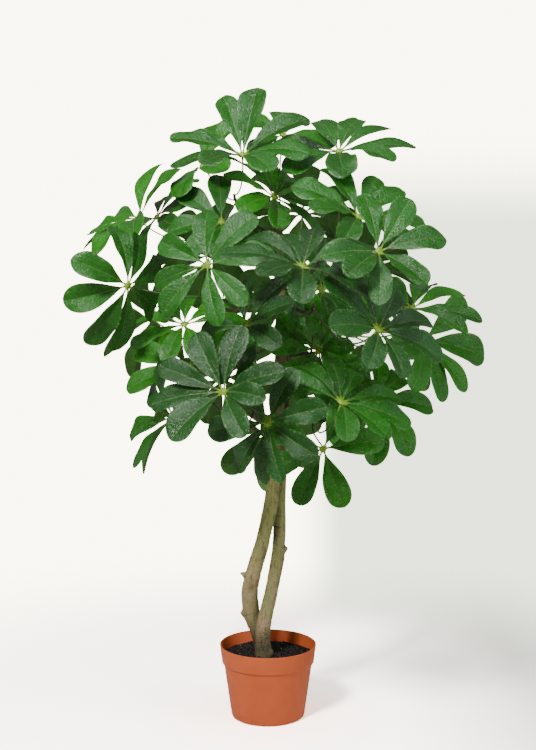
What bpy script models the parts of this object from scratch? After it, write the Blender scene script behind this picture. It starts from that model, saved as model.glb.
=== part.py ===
"""Potted umbrella plant: a turned plastic pot of soil, two crossing trunks, twigs and palmate leaves.

Metres, +Z up. The origin is the centre of the pot's foot, and the front of the plant faces -Y.
"""

import math
from collections import namedtuple

import bmesh
import bpy
from mathutils import Matrix, Vector

# Clearances between pieces that touch in the real plant
GAP = 0.0003
TWIG_GAP = 0.0006

# Pot: radii and heights of its outside, and its wall
POT_HEIGHT = 0.122
RIM_RADIUS = 0.080
COLLAR_HEIGHT = 0.0295
COLLAR_FOOT_RADIUS = 0.0765
COLLAR_STEP = 0.0032
STEP_SLOPE = 0.0020
FOOT_RADIUS = 0.0612
FOOT_ROUND = 0.0040
WALL = 0.0022
RIM_ROUND = 0.0009
POT_STEPS = 40

# Drain slots in the pot's floor
SLOT_COUNT = 6
SLOT_LENGTH = 0.014
SLOT_WIDTH = 0.0035
SLOT_RADIUS = 0.044

# Soil: its height at the wall and at the middle, and how deep the trunks stand in it
SOIL_EDGE_HEIGHT = 0.1020
SOIL_MIDDLE_HEIGHT = 0.1040
TRUNK_FOOT = 0.045
HOLE_SIDES = 32

# Twigs and leaf stalks
TWIG_ROOT_RADIUS = 0.0042
TWIG_TIP_RADIUS = 0.0028
STALK_RADIUS = 0.0013
STALK_SIDES = 4
STALK_STEPS = 5

# Leaves
HUB_RADIUS = 0.005
NECK = 0.004
THICKNESS = 0.0008
BEND = math.radians(38)
WIDTH_TO_LENGTH = 0.36
# Fractions of a leaflet's length where its outline has a corner, with the share of its full width there
OUTLINE = ((0.10, 0.05), (0.48, 0.80), (0.80, 1.00), (1.00, 0.35))

# Trunks: x, y, z and radius along each, from the soil up. Below the soil each goes straight down.
TRUNKS = {
    "trunk_left": (
        (-0.009, 0.019, 0.104, 0.0135),
        (-0.0125, 0.017, 0.121, 0.0125),
        (-0.0187, 0.014, 0.142, 0.0130),
        (-0.028, 0.011, 0.170, 0.0135),
        (-0.031, 0.006, 0.213, 0.0135),
        (-0.023, 0.002, 0.247, 0.0135),
        (-0.010, 0.000, 0.289, 0.0125),
        (-0.005, 0.000, 0.314, 0.0118),
        (0.005, 0.000, 0.355, 0.0115),
        (0.010, 0.000, 0.400, 0.0110),
        (0.016, 0.002, 0.500, 0.0100),
        (0.020, 0.004, 0.600, 0.0090),
        (0.021, 0.004, 0.717, 0.0080),
        (0.016, 0.000, 0.800, 0.0065),
        (0.012, -0.004, 0.845, 0.0050),
    ),
    "trunk_right": (
        (-0.008, -0.016, 0.104, 0.0145),
        (-0.0085, -0.0155, 0.125, 0.0120),
        (-0.009, -0.015, 0.148, 0.0118),
        (-0.002, -0.010, 0.180, 0.0118),
        (0.006, -0.004, 0.211, 0.0112),
        (0.014, 0.004, 0.250, 0.0110),
        (0.018, 0.008, 0.285, 0.0108),
        (0.019, 0.014, 0.318, 0.0104),
        (0.019, 0.021, 0.345, 0.0102),
        (0.020, 0.027, 0.380, 0.0100),
        (0.024, 0.034, 0.460, 0.0090),
        (0.030, 0.044, 0.560, 0.0075),
        (0.034, 0.056, 0.660, 0.0060),
    ),
}

# Stubs of cut side shoots: height on the trunk, compass angle from +X, rise, length past the bark, radius
Stub = namedtuple("Stub", "height turn rise length radius")
STUBS = {
    "trunk_left": (
        Stub(0.238, 190, 35, 0.0065, 0.0035),
        Stub(0.170, 185, 5, 0.0035, 0.0050),
    ),
    "trunk_right": (
        Stub(0.280, -10, 20, 0.0040, 0.0045),
        Stub(0.112, -20, 10, 0.0030, 0.0055),
    ),
}

# Twigs: the trunk that each grows from, the height where it leaves it, and its tip
Twig = namedtuple("Twig", "trunk height tip")
TWIGS = {
    "branch_01": Twig("trunk_left", 0.800, (-0.055, 0.035, 0.865)),
    "branch_02": Twig("trunk_left", 0.755, (-0.125, 0.060, 0.790)),
    "branch_03": Twig("trunk_left", 0.715, (0.085, -0.040, 0.775)),
    "branch_04": Twig("trunk_left", 0.680, (-0.085, -0.085, 0.705)),
    "branch_05": Twig("trunk_left", 0.690, (0.070, -0.135, 0.700)),
    "branch_06": Twig("trunk_right", 0.600, (0.130, 0.005, 0.640)),
    "branch_07": Twig("trunk_left", 0.580, (-0.080, -0.025, 0.610)),
    "branch_08": Twig("trunk_left", 0.500, (-0.025, -0.120, 0.540)),
    "branch_09": Twig("trunk_right", 0.510, (0.095, -0.055, 0.515)),
    "branch_10": Twig("trunk_left", 0.470, (-0.080, 0.045, 0.520)),
    "branch_11": Twig("trunk_right", 0.630, (0.045, 0.150, 0.730)),
    "branch_12": Twig("trunk_right", 0.550, (-0.035, 0.150, 0.610)),
    "branch_13": Twig("trunk_right", 0.475, (0.065, 0.130, 0.520)),
}


def ring(count, start=0):
    """The angles of count leaflets spaced evenly round a hub, the first at start degrees."""
    return tuple(start + 360 * index / count for index in range(count))


def waver(count, start=0):
    """The lifts of count leaflets in degrees, which go up and down round the hub."""
    return tuple(round(6 * math.sin(start + 2.1 * index)) for index in range(count))


# Leaves: the stem that carries each and how far along it, the hub's centre, the way it faces (turned from
# the front towards +X, tilted from straight up), the leaflets' length, how far they rise from the hub's
# plane, their tone, the leaflets' angles round the hub from its right, and how much more each rises
Leaf = namedtuple("Leaf", "stem along hub turn tilt length rise tone angles lifts")
LEAVES = (
    Leaf("branch_01", 0.95, (-0.039, -0.110, 0.9234), -5, 30, 0.113, 10, "middle",
         (30, 80, 110, 155, 186, 214, 243, 298, 345), (5, 24, 19, -4, 7, -3, 12, 3, -3)),
    Leaf("trunk_left", 0.97, (0.025, 0.070, 0.960), 26, 24, 0.101, 0, "bright",
         (45, 72, 119, 190, 217, 289, 345), (-6, 1, -5, 8, -8, 8, 2)),
    Leaf("branch_03", 0.99, (0.110, -0.060, 0.930), -8, 26, 0.115, 0, "middle",
         (5, 47, 80, 112, 170, 232, 278, 325), (0, 1, 3, 2, -4, 4, 3, 4)),
    Leaf("branch_03", 0.90, (0.135, -0.170, 0.830), 31, 37, 0.103, 8, "middle",
         (20, 48, 98, 142, 189, 224, 290, 346), (2, 4, 0, -4, 5, -4, 0, -4)),
    Leaf("trunk_left", 0.93, (0.010, -0.095, 0.860), 50, 44, 0.100, 0, "bright",
         (32, 61, 91, 163, 192, 228, 286, 344), (0, -1, -8, 8, -4, 4, 2, -4)),
    Leaf("branch_02", 0.98, (-0.2159, 0.090, 0.8248), -66, 40, 0.114, 7, "bright",
         (60, 116, 182, 211, 241, 288, 334), (5, 9, -7, 0, 0, -3, -4)),
    Leaf("branch_04", 0.98, (-0.215, -0.120, 0.725), 42, 90, 0.106, -21, "middle",
         (17, 53, 80, 152, 195, 239, 276, 329), (-3, -8, -15, 10, -4, 3, -4, -4)),
    Leaf("branch_04", 0.85, (-0.090, -0.190, 0.760), -27, 68, 0.098, -4, "middle",
         (12, 52, 104, 160, 197, 227, 296, 325), (-3, 1, -5, 7, -4, -5, 4, -2)),
    Leaf("branch_05", 0.85, (0.0485, -0.315, 0.7632), 21, 23, 0.112, 0, "dark",
         (11, 60, 88, 116, 163, 217, 248, 307), (8, 7, 0, -2, 2, 11, -1, -4)),
    Leaf("branch_03", 0.75, (0.155, -0.310, 0.785), 15, 55, 0.096, 15, "middle",
         (9, 52, 92, 193, 224, 256, 300), (-7, 1, -10, -1, 8, -7, 7)),
    Leaf("branch_05", 0.90, (0.155, -0.310, 0.675), 43, 48, 0.099, 8, "dark",
         (0, 43, 86, 130, 176, 220, 255, 314), (1, 4, 0, 3, 0, -5, 1, -2)),
    Leaf("branch_06", 0.50, (0.0796, -0.070, 0.621), -45, 85, 0.095, 13, "bright",
         (12, 38, 76, 152, 181, 225, 266, 306, 344), (0, 9, 12, -10, -4, 0, 0, 2, 4)),
    Leaf("branch_06", 0.98, (0.220, -0.120, 0.690), -9, 24, 0.104, -5, "bright",
         (40, 77, 120, 166, 212, 264, 318, 347), (1, -4, 2, -3, 3, 0, 0, 1)),
    Leaf("branch_06", 0.85, (0.245, -0.060, 0.635), 43, 69, 0.110, 15, "bright",
         (30, 190, 228, 260, 290, 336), (0, 3, -4, -4, 0, 1)),
    Leaf("branch_07", 0.70, (-0.035, -0.140, 0.665), -43, 53, 0.095, 0, "dark",
         (22, 66, 115, 188, 224, 272, 310, 342), (8, 0, 0, -3, -12, -3, 7, -1)),
    Leaf("branch_07", 0.98, (-0.135, 0.000, 0.655), -11, 27, 0.097, -7, "bright",
         (12, 54, 97, 133, 169, 228, 262, 297), (0, -3, 5, 0, -4, 8, 0, -3)),
    Leaf("branch_08", 0.85, (-0.065, -0.260, 0.580), -28, 60, 0.104, 13, "dark",
         (17, 82, 127, 168, 198, 244, 311, 348), (-1, 0, 3, 2, -4, 4, -1, 8)),
    Leaf("branch_08", 0.97, (0.000, -0.260, 0.535), -32, 85, 0.095, -1, "dark",
         (20, 61, 115, 193, 231, 265, 297, 336), (-10, -1, 0, 5, -9, -8, 10, 4)),
    Leaf("branch_09", 0.85, (0.1069, -0.250, 0.5636), 21, 33, 0.099, 0, "middle",
         (1, 52, 80, 108, 148, 255, 292, 326), (1, -6, 0, -5, 2, 3, 4, 0)),
    Leaf("branch_09", 0.60, (0.085, -0.140, 0.475), -12, 78, 0.098, 0, "bright",
         (13, 62, 160, 203, 246, 294), (-4, 0, 3, -3, 2, 0)),
    Leaf("branch_10", 0.98, (-0.160, 0.050, 0.495), -76, 75, 0.106, 21, "middle",
         (17, 65, 110, 159, 217, 256, 299), (7, 3, 0, -3, 8, 0, -5)),
    Leaf("branch_01", 0.80, (-0.075, 0.020, 0.820), -10, 50, 0.092, 0, "middle",
         (100, 145, 190, 235, 280, 325), (0, 5, -5, 0, 5, -5)),
    Leaf("branch_09", 0.97, (0.175, 0.000, 0.530), 23, 51, 0.108, -9, "bright",
         (38, 66, 103, 142, 214, 253, 290, 350), (-11, -5, 0, 3, 2, -1, 2, 5)),
    Leaf("branch_10", 0.85, (-0.135, 0.100, 0.575), -30, 50, 0.110, 0, "bright",
         (15, 60, 140, 174, 208, 300), (5, 0, -5, 5, 0, -5)),
    Leaf("branch_06", 0.30, (0.090, 0.090, 0.705), 10, 60, 0.105, 0, "middle",
         ring(8, 5), waver(8, 2)),
    Leaf("branch_02", 0.88, (-0.190, 0.150, 0.825), -67, 52, 0.098, -9, "middle",
         (24, 78, 132, 199, 250, 305, 352), (4, 0, -4, 1, -2, 3, -3)),
    Leaf("branch_01", 0.88, (-0.1113, 0.130, 0.9106), -50, 45, 0.112, 8, "bright",
         (70, 110, 300, 345), (1, -6, 5, 1)),
    Leaf("branch_11", 0.97, (0.060, 0.190, 0.830), 170, 45, 0.110, 0, "middle",
         ring(8, 10), waver(8, 4)),
    Leaf("branch_02", 0.70, (-0.100, 0.200, 0.760), -150, 55, 0.110, 0, "middle",
         ring(8), waver(8, 5)),
    Leaf("branch_11", 0.85, (0.170, 0.190, 0.740), 140, 55, 0.110, 0, "middle",
         ring(8, 20), waver(8)),
    Leaf("branch_12", 0.80, (0.030, 0.280, 0.660), 180, 65, 0.110, 0, "middle",
         ring(8), waver(8, 1)),
    Leaf("branch_12", 0.97, (-0.080, 0.230, 0.540), -160, 70, 0.105, 0, "dark",
         ring(8, 10), waver(8, 2)),
    Leaf("branch_13", 0.97, (0.120, 0.200, 0.520), 160, 70, 0.105, 0, "middle",
         ring(8), waver(8, 3)),
    Leaf("branch_11", 0.60, (0.230, 0.100, 0.620), 110, 60, 0.105, 0, "middle",
         ring(8, 20), waver(8, 4)),
    Leaf("branch_12", 0.60, (-0.200, 0.160, 0.650), -120, 60, 0.105, 0, "middle",
         ring(8), waver(8, 5)),
    Leaf("branch_13", 0.70, (0.000, 0.160, 0.450), 180, 85, 0.100, 0, "dark",
         ring(7, 10), waver(7)),
)

# Finishes: linear colour and roughness
FINISHES = {
    "pot_plastic": ((0.50, 0.13, 0.05), 0.45),
    "soil": ((0.015, 0.011, 0.010), 0.95),
    "bark": ((0.22, 0.19, 0.11), 0.85),
    "twig": ((0.07, 0.05, 0.03), 0.80),
    "leaf_dark": ((0.014, 0.065, 0.030), 0.35),
    "leaf_middle": ((0.026, 0.107, 0.020), 0.38),
    "leaf_bright": ((0.055, 0.190, 0.020), 0.42),
}


def material(finish):
    """The Principled material of a finish, made once."""
    if finish in bpy.data.materials:
        return bpy.data.materials[finish]
    colour, roughness = FINISHES[finish]
    made = bpy.data.materials.new(finish)
    made.use_nodes = True
    made.diffuse_color = (*colour, 1.0)
    shader = made.node_tree.nodes["Principled BSDF"]
    shader.inputs["Base Color"].default_value = (*colour, 1.0)
    shader.inputs["Roughness"].default_value = roughness
    shader.inputs["Metallic"].default_value = 0.0
    return made


def group(name):
    """A new collection in the scene."""
    made = bpy.data.collections.new(name)
    bpy.context.scene.collection.children.link(made)
    return made


def add_object(name, data, collection, finish=None):
    """An object that holds the mesh or curve, in the collection, with its finish."""
    made = bpy.data.objects.new(name, data)
    collection.objects.link(made)
    if finish:
        data.materials.append(material(finish))
    return made


def add_helper(name, mesh, cutters):
    """A solid that only cuts or joins others, and is no part of the plant."""
    made = add_object(name, mesh, cutters)
    made.hide_render = True
    made.display_type = "WIRE"
    return made


def mesh_from(bm, name):
    """The mesh of a finished bmesh, shaded smooth except at its corners."""
    mesh = bpy.data.meshes.new(name)
    bm.to_mesh(mesh)
    bm.free()
    mesh.shade_smooth()
    mesh.set_sharp_from_angle(angle=math.radians(40))
    return mesh


def add_boolean(target, helper, operation):
    """The exact Boolean of the helper on the target."""
    boolean = target.modifiers.new(helper.name, "BOOLEAN")
    boolean.operation = operation
    boolean.object = helper
    boolean.solver = "EXACT"


def add_turned(name, profile, steps, collection, finish):
    """A profile of (radius, height) points, turned about Z. It runs out from the axis, down and back in."""
    mesh = bpy.data.meshes.new(name)
    points = [(radius, 0.0, height) for radius, height in profile]
    edges = [(index, index + 1) for index in range(len(points) - 1)]
    mesh.from_pydata(points, edges, [])
    turned = add_object(name, mesh, collection, finish)
    screw = turned.modifiers.new("turn", "SCREW")
    screw.axis = "Z"
    screw.angle = math.tau
    screw.steps = steps
    screw.render_steps = steps
    screw.use_merge_vertices = True
    screw.merge_threshold = 0.00001
    screw.use_smooth_shade = True
    return turned


def pot_wall(inset):
    """The pot's wall from its mouth down to its foot as (radius, height), moved in by inset."""
    collar_foot = POT_HEIGHT - COLLAR_HEIGHT
    return [
        (RIM_RADIUS - inset, POT_HEIGHT),
        (COLLAR_FOOT_RADIUS - inset, collar_foot),
        (COLLAR_FOOT_RADIUS - COLLAR_STEP - inset, collar_foot - STEP_SLOPE),
        (FOOT_RADIUS - inset, FOOT_ROUND + inset),
        (FOOT_RADIUS - 0.3 * FOOT_ROUND - inset, 0.3 * FOOT_ROUND + inset),
        (FOOT_RADIUS - FOOT_ROUND - inset, inset),
    ]


def wall_radius(inset, height):
    """The radius of the pot's wall, moved in by inset, at a height between its mouth and its step."""
    (top_radius, top), (foot_radius, foot) = pot_wall(inset)[:2]
    return foot_radius + (top_radius - foot_radius) * (height - foot) / (top - foot)


def add_pot(collection, cutters):
    """The pot: a thin turned wall with a rounded rim, a flat floor and a ring of drain slots."""
    outside = pot_wall(0.0)
    inside = pot_wall(WALL)
    lip = [
        (RIM_RADIUS - WALL, POT_HEIGHT - RIM_ROUND),
        (RIM_RADIUS - WALL + 0.4 * RIM_ROUND, POT_HEIGHT),
        (RIM_RADIUS - 0.4 * RIM_ROUND, POT_HEIGHT),
        (RIM_RADIUS, POT_HEIGHT - RIM_ROUND),
    ]
    profile = [(0.0, WALL)] + inside[:0:-1] + lip + outside[1:] + [(0.0, 0.0)]
    pot = add_turned("pot", profile, POT_STEPS, collection, "pot_plastic")
    bm = bmesh.new()
    size = Matrix.Diagonal((SLOT_LENGTH, SLOT_WIDTH, 4 * WALL, 1.0))
    for index in range(SLOT_COUNT):
        turn = Matrix.Rotation(math.tau * (index + 0.5) / SLOT_COUNT, 4, "Z")
        place = Matrix.Translation((SLOT_RADIUS, 0.0, 0.0))
        bmesh.ops.create_cube(bm, size=1.0, matrix=turn @ place @ size)
    add_boolean(pot, add_helper("drain_slots", mesh_from(bm, "drain_slots"), cutters), "DIFFERENCE")


def add_soil(collection, cutters):
    """The soil: it fills the pot up to a low mound, with a blind hole round the foot of each trunk."""
    inset = WALL + GAP
    edge = (wall_radius(inset, SOIL_EDGE_HEIGHT), SOIL_EDGE_HEIGHT)
    shoulder = (0.6 * edge[0], 0.4 * SOIL_EDGE_HEIGHT + 0.6 * SOIL_MIDDLE_HEIGHT)
    profile = [(0.0, SOIL_MIDDLE_HEIGHT), shoulder, edge] + pot_wall(inset)[1:] + [(0.0, inset)]
    soil = add_turned("soil", profile, POT_STEPS, collection, "soil")
    bm = bmesh.new()
    floor = TRUNK_FOOT - GAP
    depth = POT_HEIGHT - floor
    for points in TRUNKS.values():
        x, y, _, radius = points[0]
        radius = (radius + GAP) / math.cos(math.pi / HOLE_SIDES)
        place = Matrix.Translation((x, y, floor + depth / 2))
        bmesh.ops.create_cone(bm, cap_ends=True, segments=HOLE_SIDES, radius1=radius, radius2=radius,
                              depth=depth, matrix=place)
    add_boolean(soil, add_helper("trunk_holes", mesh_from(bm, "trunk_holes"), cutters), "DIFFERENCE")


def trunk_at(name, height):
    """The centre, radius and direction of a trunk at a height, on the straight runs between its points."""
    points = TRUNKS[name]
    lower = next(index for index in reversed(range(len(points) - 1)) if points[index][2] <= height)
    low, high = Vector(points[lower]), Vector(points[lower + 1])
    here = low.lerp(high, (height - low.z) / (high.z - low.z))
    return here.xyz, here.w, (high.xyz - low.xyz).normalized()


def add_trunk(name, collection, cutters):
    """A trunk: a tapered tube through its points, straight down into the soil, joined to its stubs."""
    curve = bpy.data.curves.new(name, "CURVE")
    curve.dimensions = "3D"
    curve.bevel_depth = 1.0
    curve.bevel_resolution = 4
    curve.use_fill_caps = True
    x, y, _, radius = TRUNKS[name][0]
    points = ((x, y, TRUNK_FOOT, radius),) + TRUNKS[name]
    spline = curve.splines.new("POLY")
    spline.points.add(len(points) - 1)
    for point, (x, y, z, radius) in zip(spline.points, points):
        point.co = (x, y, z, 1.0)
        point.radius = radius
    tube = add_object(name, curve, collection)
    graph = bpy.context.evaluated_depsgraph_get()
    bm = bmesh.new()
    bm.from_mesh(bpy.data.meshes.new_from_object(tube.evaluated_get(graph)))
    bmesh.ops.remove_doubles(bm, verts=bm.verts, dist=0.00001)
    bpy.data.objects.remove(tube)
    trunk = add_object(name, mesh_from(bm, name), collection, "bark")
    add_boolean(trunk, add_helper(name + "_stubs", stubs_mesh(name), cutters), "UNION")


def stubs_mesh(name):
    """The stubs of a trunk: short tapered cylinders that start at the trunk's middle."""
    bm = bmesh.new()
    for stub in STUBS[name]:
        centre, radius, _ = trunk_at(name, stub.height)
        length = radius + stub.length
        aim = Matrix.Rotation(math.radians(stub.turn), 4, "Z") @ Matrix.Rotation(
            math.radians(90 - stub.rise), 4, "Y")
        place = Matrix.Translation(centre) @ aim @ Matrix.Translation((0.0, 0.0, length / 2))
        bmesh.ops.create_cone(bm, cap_ends=True, segments=10, radius1=stub.radius,
                              radius2=0.85 * stub.radius, depth=length, matrix=place)
    return mesh_from(bm, name + "_stubs")


def bezier(corners, t):
    """The point at t on the cubic Bezier curve of four corners."""
    start, first, second, end = corners
    u = 1 - t
    return u ** 3 * start + 3 * u * u * t * first + 3 * u * t * t * second + t ** 3 * end


def twig_corners(name):
    """The Bezier corners of a twig: square off its trunk's bark, then up into its tip."""
    twig = TWIGS[name]
    centre, radius, along = trunk_at(twig.trunk, twig.height)
    tip = Vector(twig.tip)
    outward = tip - centre
    outward = (outward - along * outward.dot(along)).normalized()
    start = centre + outward * (radius + TWIG_GAP)
    reach = (tip - start).length
    return start, start + 0.3 * reach * outward, tip - Vector((0.0, 0.0, 0.25 * reach)), tip


def add_twig(name, collection):
    """A twig: a tapered Bezier tube."""
    corners = twig_corners(name)
    curve = bpy.data.curves.new(name, "CURVE")
    curve.dimensions = "3D"
    curve.bevel_depth = 1.0
    curve.bevel_resolution = 2
    curve.resolution_u = 10
    curve.use_fill_caps = True
    spline = curve.splines.new("BEZIER")
    spline.bezier_points.add(1)
    root, tip = spline.bezier_points
    for point in (root, tip):
        point.handle_left_type = "FREE"
        point.handle_right_type = "FREE"
    root.co = corners[0]
    root.handle_left = 2 * corners[0] - corners[1]
    root.handle_right = corners[1]
    root.radius = TWIG_ROOT_RADIUS
    tip.co = corners[3]
    tip.handle_left = corners[2]
    tip.handle_right = 2 * corners[3] - corners[2]
    tip.radius = TWIG_TIP_RADIUS
    add_object(name, curve, collection, "twig")


def stalk_corners(leaf, axis):
    """The Bezier corners of a stalk: square off its stem's bark, then straight into the hub's back."""
    hub = Vector(leaf.hub)
    if leaf.stem in TRUNKS:
        points = TRUNKS[leaf.stem]
        height = points[0][2] + (points[-1][2] - points[0][2]) * leaf.along
        centre, radius, along = trunk_at(leaf.stem, height)
    else:
        corners = twig_corners(leaf.stem)
        centre = bezier(corners, leaf.along)
        along = (bezier(corners, leaf.along + 0.005) - bezier(corners, leaf.along - 0.005)).normalized()
        radius = TWIG_ROOT_RADIUS + (TWIG_TIP_RADIUS - TWIG_ROOT_RADIUS) * leaf.along
    outward = hub - centre
    outward = (outward - along * outward.dot(along)).normalized()
    start = centre + outward * (radius + GAP)
    reach = (hub - start).length
    return start, start + 0.25 * reach * outward, hub - 0.40 * reach * axis, hub - NECK * axis


def leaflet_section(leaf, number, index, fraction):
    """A leaflet's cross-section at a fraction of its length, in the leaf's frame: centre, side and normal.

    The midrib is an arc: it leaves the hub at the leaf's rise plus half the bend, and ends at the rise
    minus half.
    """
    angle = math.radians(leaf.angles[index])
    outward = Vector((math.cos(angle), math.sin(angle), 0.0))
    side = Vector((-math.sin(angle), math.cos(angle), 0.0))
    length = leaf.length * (1 + 0.06 * math.sin(1.3 * index + 0.9 * number))
    root = math.radians(leaf.rise + leaf.lifts[index]) + BEND / 2
    here = root - BEND * fraction
    reach = (math.sin(root) - math.sin(here)) / BEND * length
    height = (math.cos(here) - math.cos(root)) / BEND * length
    centre = (HUB_RADIUS + reach) * outward + Vector((0.0, 0.0, height))
    normal = Vector((0.0, 0.0, math.cos(here))) - math.sin(here) * outward
    return centre, side, normal


def grow_leaflet(bm, face, leaf, number, index):
    """Extrudes a side face of the hub through the leaflet's cross-sections."""
    half_width = 0.5 * WIDTH_TO_LENGTH * leaf.length
    section = leaflet_section(leaf, number, index, 0.0)
    for fraction, share in OUTLINE:
        centre, side, normal = section
        offsets = [vert.co - centre for vert in face.verts]
        across = [math.copysign(share * half_width, offset.dot(side)) for offset in offsets]
        above = [math.copysign(THICKNESS / 2, offset.dot(normal)) for offset in offsets]
        face = bmesh.ops.extrude_discrete_faces(bm, faces=[face])["faces"][0]
        section = leaflet_section(leaf, number, index, fraction)
        centre, side, normal = section
        for vert, sideways, up in zip(face.verts, across, above):
            vert.co = centre + sideways * side + up * normal


def grow_stalk(bm, path):
    """Narrows the hub's back to the stalk's sides and extrudes it along the path."""
    back = min(bm.faces, key=lambda face: face.calc_center_median().z)
    cap = bmesh.ops.extrude_discrete_faces(bm, faces=[back])["faces"][0]
    rim = sorted(cap.verts, key=lambda vert: math.atan2(vert.co.y, vert.co.x))
    first = math.atan2(rim[0].co.y, rim[0].co.x)
    for rank, vert in enumerate(rim):
        corner = rank * STALK_SIDES // len(rim)
        angle = first + math.tau * (corner + 0.3) / STALK_SIDES
        vert.co = path[0] + STALK_RADIUS * Vector((math.cos(angle), math.sin(angle), 0.0))
    bmesh.ops.remove_doubles(bm, verts=rim, dist=0.000001)
    cap = min(bm.faces, key=lambda face: face.calc_center_median().z)
    heading = Vector((0.0, 0.0, -1.0))
    for index in range(1, len(path)):
        last = index == len(path) - 1
        ahead = path[index] - path[index - 1] if last else path[index + 1] - path[index - 1]
        spin = heading.rotation_difference(ahead)
        heading = ahead.normalized()
        offsets = [spin @ (vert.co - path[index - 1]) for vert in cap.verts]
        cap = bmesh.ops.extrude_discrete_faces(bm, faces=[cap])["faces"][0]
        for vert, offset in zip(cap.verts, offsets):
            vert.co = path[index] + offset


def add_leaf(leaf, number, collection):
    """A palmate leaf in one piece: a hub disc, a leaflet grown from each of its wide sides, and a stalk."""
    turn = Matrix.Rotation(math.radians(leaf.turn), 4, "Z")
    tilt = Matrix.Rotation(math.radians(leaf.tilt), 4, "X")
    place = Matrix.Translation(leaf.hub) @ turn @ tilt
    bm = bmesh.new()
    count = len(leaf.angles)
    bmesh.ops.create_cone(bm, cap_ends=True, segments=2 * count, radius1=HUB_RADIUS, radius2=HUB_RADIUS,
                          depth=THICKNESS)
    half_angle = math.asin(0.5 * WIDTH_TO_LENGTH * leaf.length * OUTLINE[0][1] / HUB_RADIUS)
    turns = [math.radians(angle) for angle in sorted(leaf.angles)]
    corners = [angle + sign * half_angle for angle in turns for sign in (-1, 1)]
    for level in (-1, 1):
        rim = [vert for vert in bm.verts if vert.co.z * level > 0]
        rim.sort(key=lambda vert: math.atan2(vert.co.y, vert.co.x))
        for vert, angle in zip(rim, corners):
            vert.co.xy = HUB_RADIUS * math.cos(angle), HUB_RADIUS * math.sin(angle)
    sides = [face for face in bm.faces if len(face.verts) == 4]
    roots = []
    for index in range(count):
        outward = leaflet_section(leaf, number, index, 0.0)[0]
        roots.append(max(sides, key=lambda face: face.calc_center_median().normalized().dot(outward)))
    axis = (turn @ tilt).to_3x3() @ Vector((0.0, 0.0, 1.0))
    stalk = stalk_corners(leaf, axis)
    to_leaf = place.inverted()
    steps = [1 - step / STALK_STEPS for step in range(STALK_STEPS + 1)]
    grow_stalk(bm, [to_leaf @ bezier(stalk, t) for t in steps])
    for index, face in enumerate(roots):
        grow_leaflet(bm, face, leaf, number, index)
    name = f"leaf_{number:02d}"
    made = add_object(name, mesh_from(bm, name), collection, "leaf_" + leaf.tone)
    made.matrix_world = place


def main():
    """Clears the scene and builds the plant."""
    for old in list(bpy.data.objects):
        bpy.data.objects.remove(old)
    plant = group("potted_umbrella_plant")
    cutters = group("cutters")
    add_pot(plant, cutters)
    add_soil(plant, cutters)
    for name in TRUNKS:
        add_trunk(name, plant, cutters)
    for name in TWIGS:
        add_twig(name, plant)
    for number, leaf in enumerate(LEAVES, start=1):
        add_leaf(leaf, number, plant)


main()
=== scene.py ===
import itertools
import math
from collections import namedtuple
from functools import partial

import bmesh
import bpy
import numpy as np
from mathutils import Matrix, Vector


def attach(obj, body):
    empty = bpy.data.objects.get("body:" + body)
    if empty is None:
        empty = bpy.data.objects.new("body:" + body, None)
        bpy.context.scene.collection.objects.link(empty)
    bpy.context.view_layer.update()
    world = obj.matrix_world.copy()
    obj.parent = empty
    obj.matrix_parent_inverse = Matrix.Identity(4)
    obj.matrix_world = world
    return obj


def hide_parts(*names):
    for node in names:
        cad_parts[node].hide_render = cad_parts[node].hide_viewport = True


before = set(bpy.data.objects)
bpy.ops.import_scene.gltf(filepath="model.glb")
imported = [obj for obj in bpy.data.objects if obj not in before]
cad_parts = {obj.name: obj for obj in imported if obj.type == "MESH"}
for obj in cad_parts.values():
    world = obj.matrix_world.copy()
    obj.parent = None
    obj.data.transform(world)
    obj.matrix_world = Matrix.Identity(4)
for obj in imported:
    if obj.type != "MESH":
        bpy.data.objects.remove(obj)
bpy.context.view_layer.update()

bl_info = {
    "name": "Potted umbrella plant",
    "version": (1, 0, 0),
    "blender": (4, 5, 0),
    "location": "View3D > Sidebar > Plant",
    "description": "Builds the surfaces, finishes and stage of a potted umbrella plant round its frame",
    "category": "Add Mesh",
}

BODY = "root"

# ---------------------------------------------------------------- sizes of the frame, in metres

# Pot: a collar, a sloping step under it and a tapered body
POT_HEIGHT = 0.122
RIM_RADIUS = 0.080
COLLAR_HEIGHT = 0.0295
COLLAR_FOOT_RADIUS = 0.0765
COLLAR_STEP = 0.0032
STEP_SLOPE = 0.0020
FOOT_RADIUS = 0.0612
FOOT_ROUND = 0.004
WALL = 0.0022
SLOT_COUNT = 6
SLOT_INSIDE = 0.037
SLOT_OUTSIDE = 0.051

# Soil
SOIL_GAP = 0.0003
SOIL_EDGE_HEIGHT = 0.1020
SOIL_MIDDLE_HEIGHT = 0.1040
TRUNK_FOOT = 0.045

# Leaves: how far a leaflet bends down from its root to its tip
BEND = math.radians(38)

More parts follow.
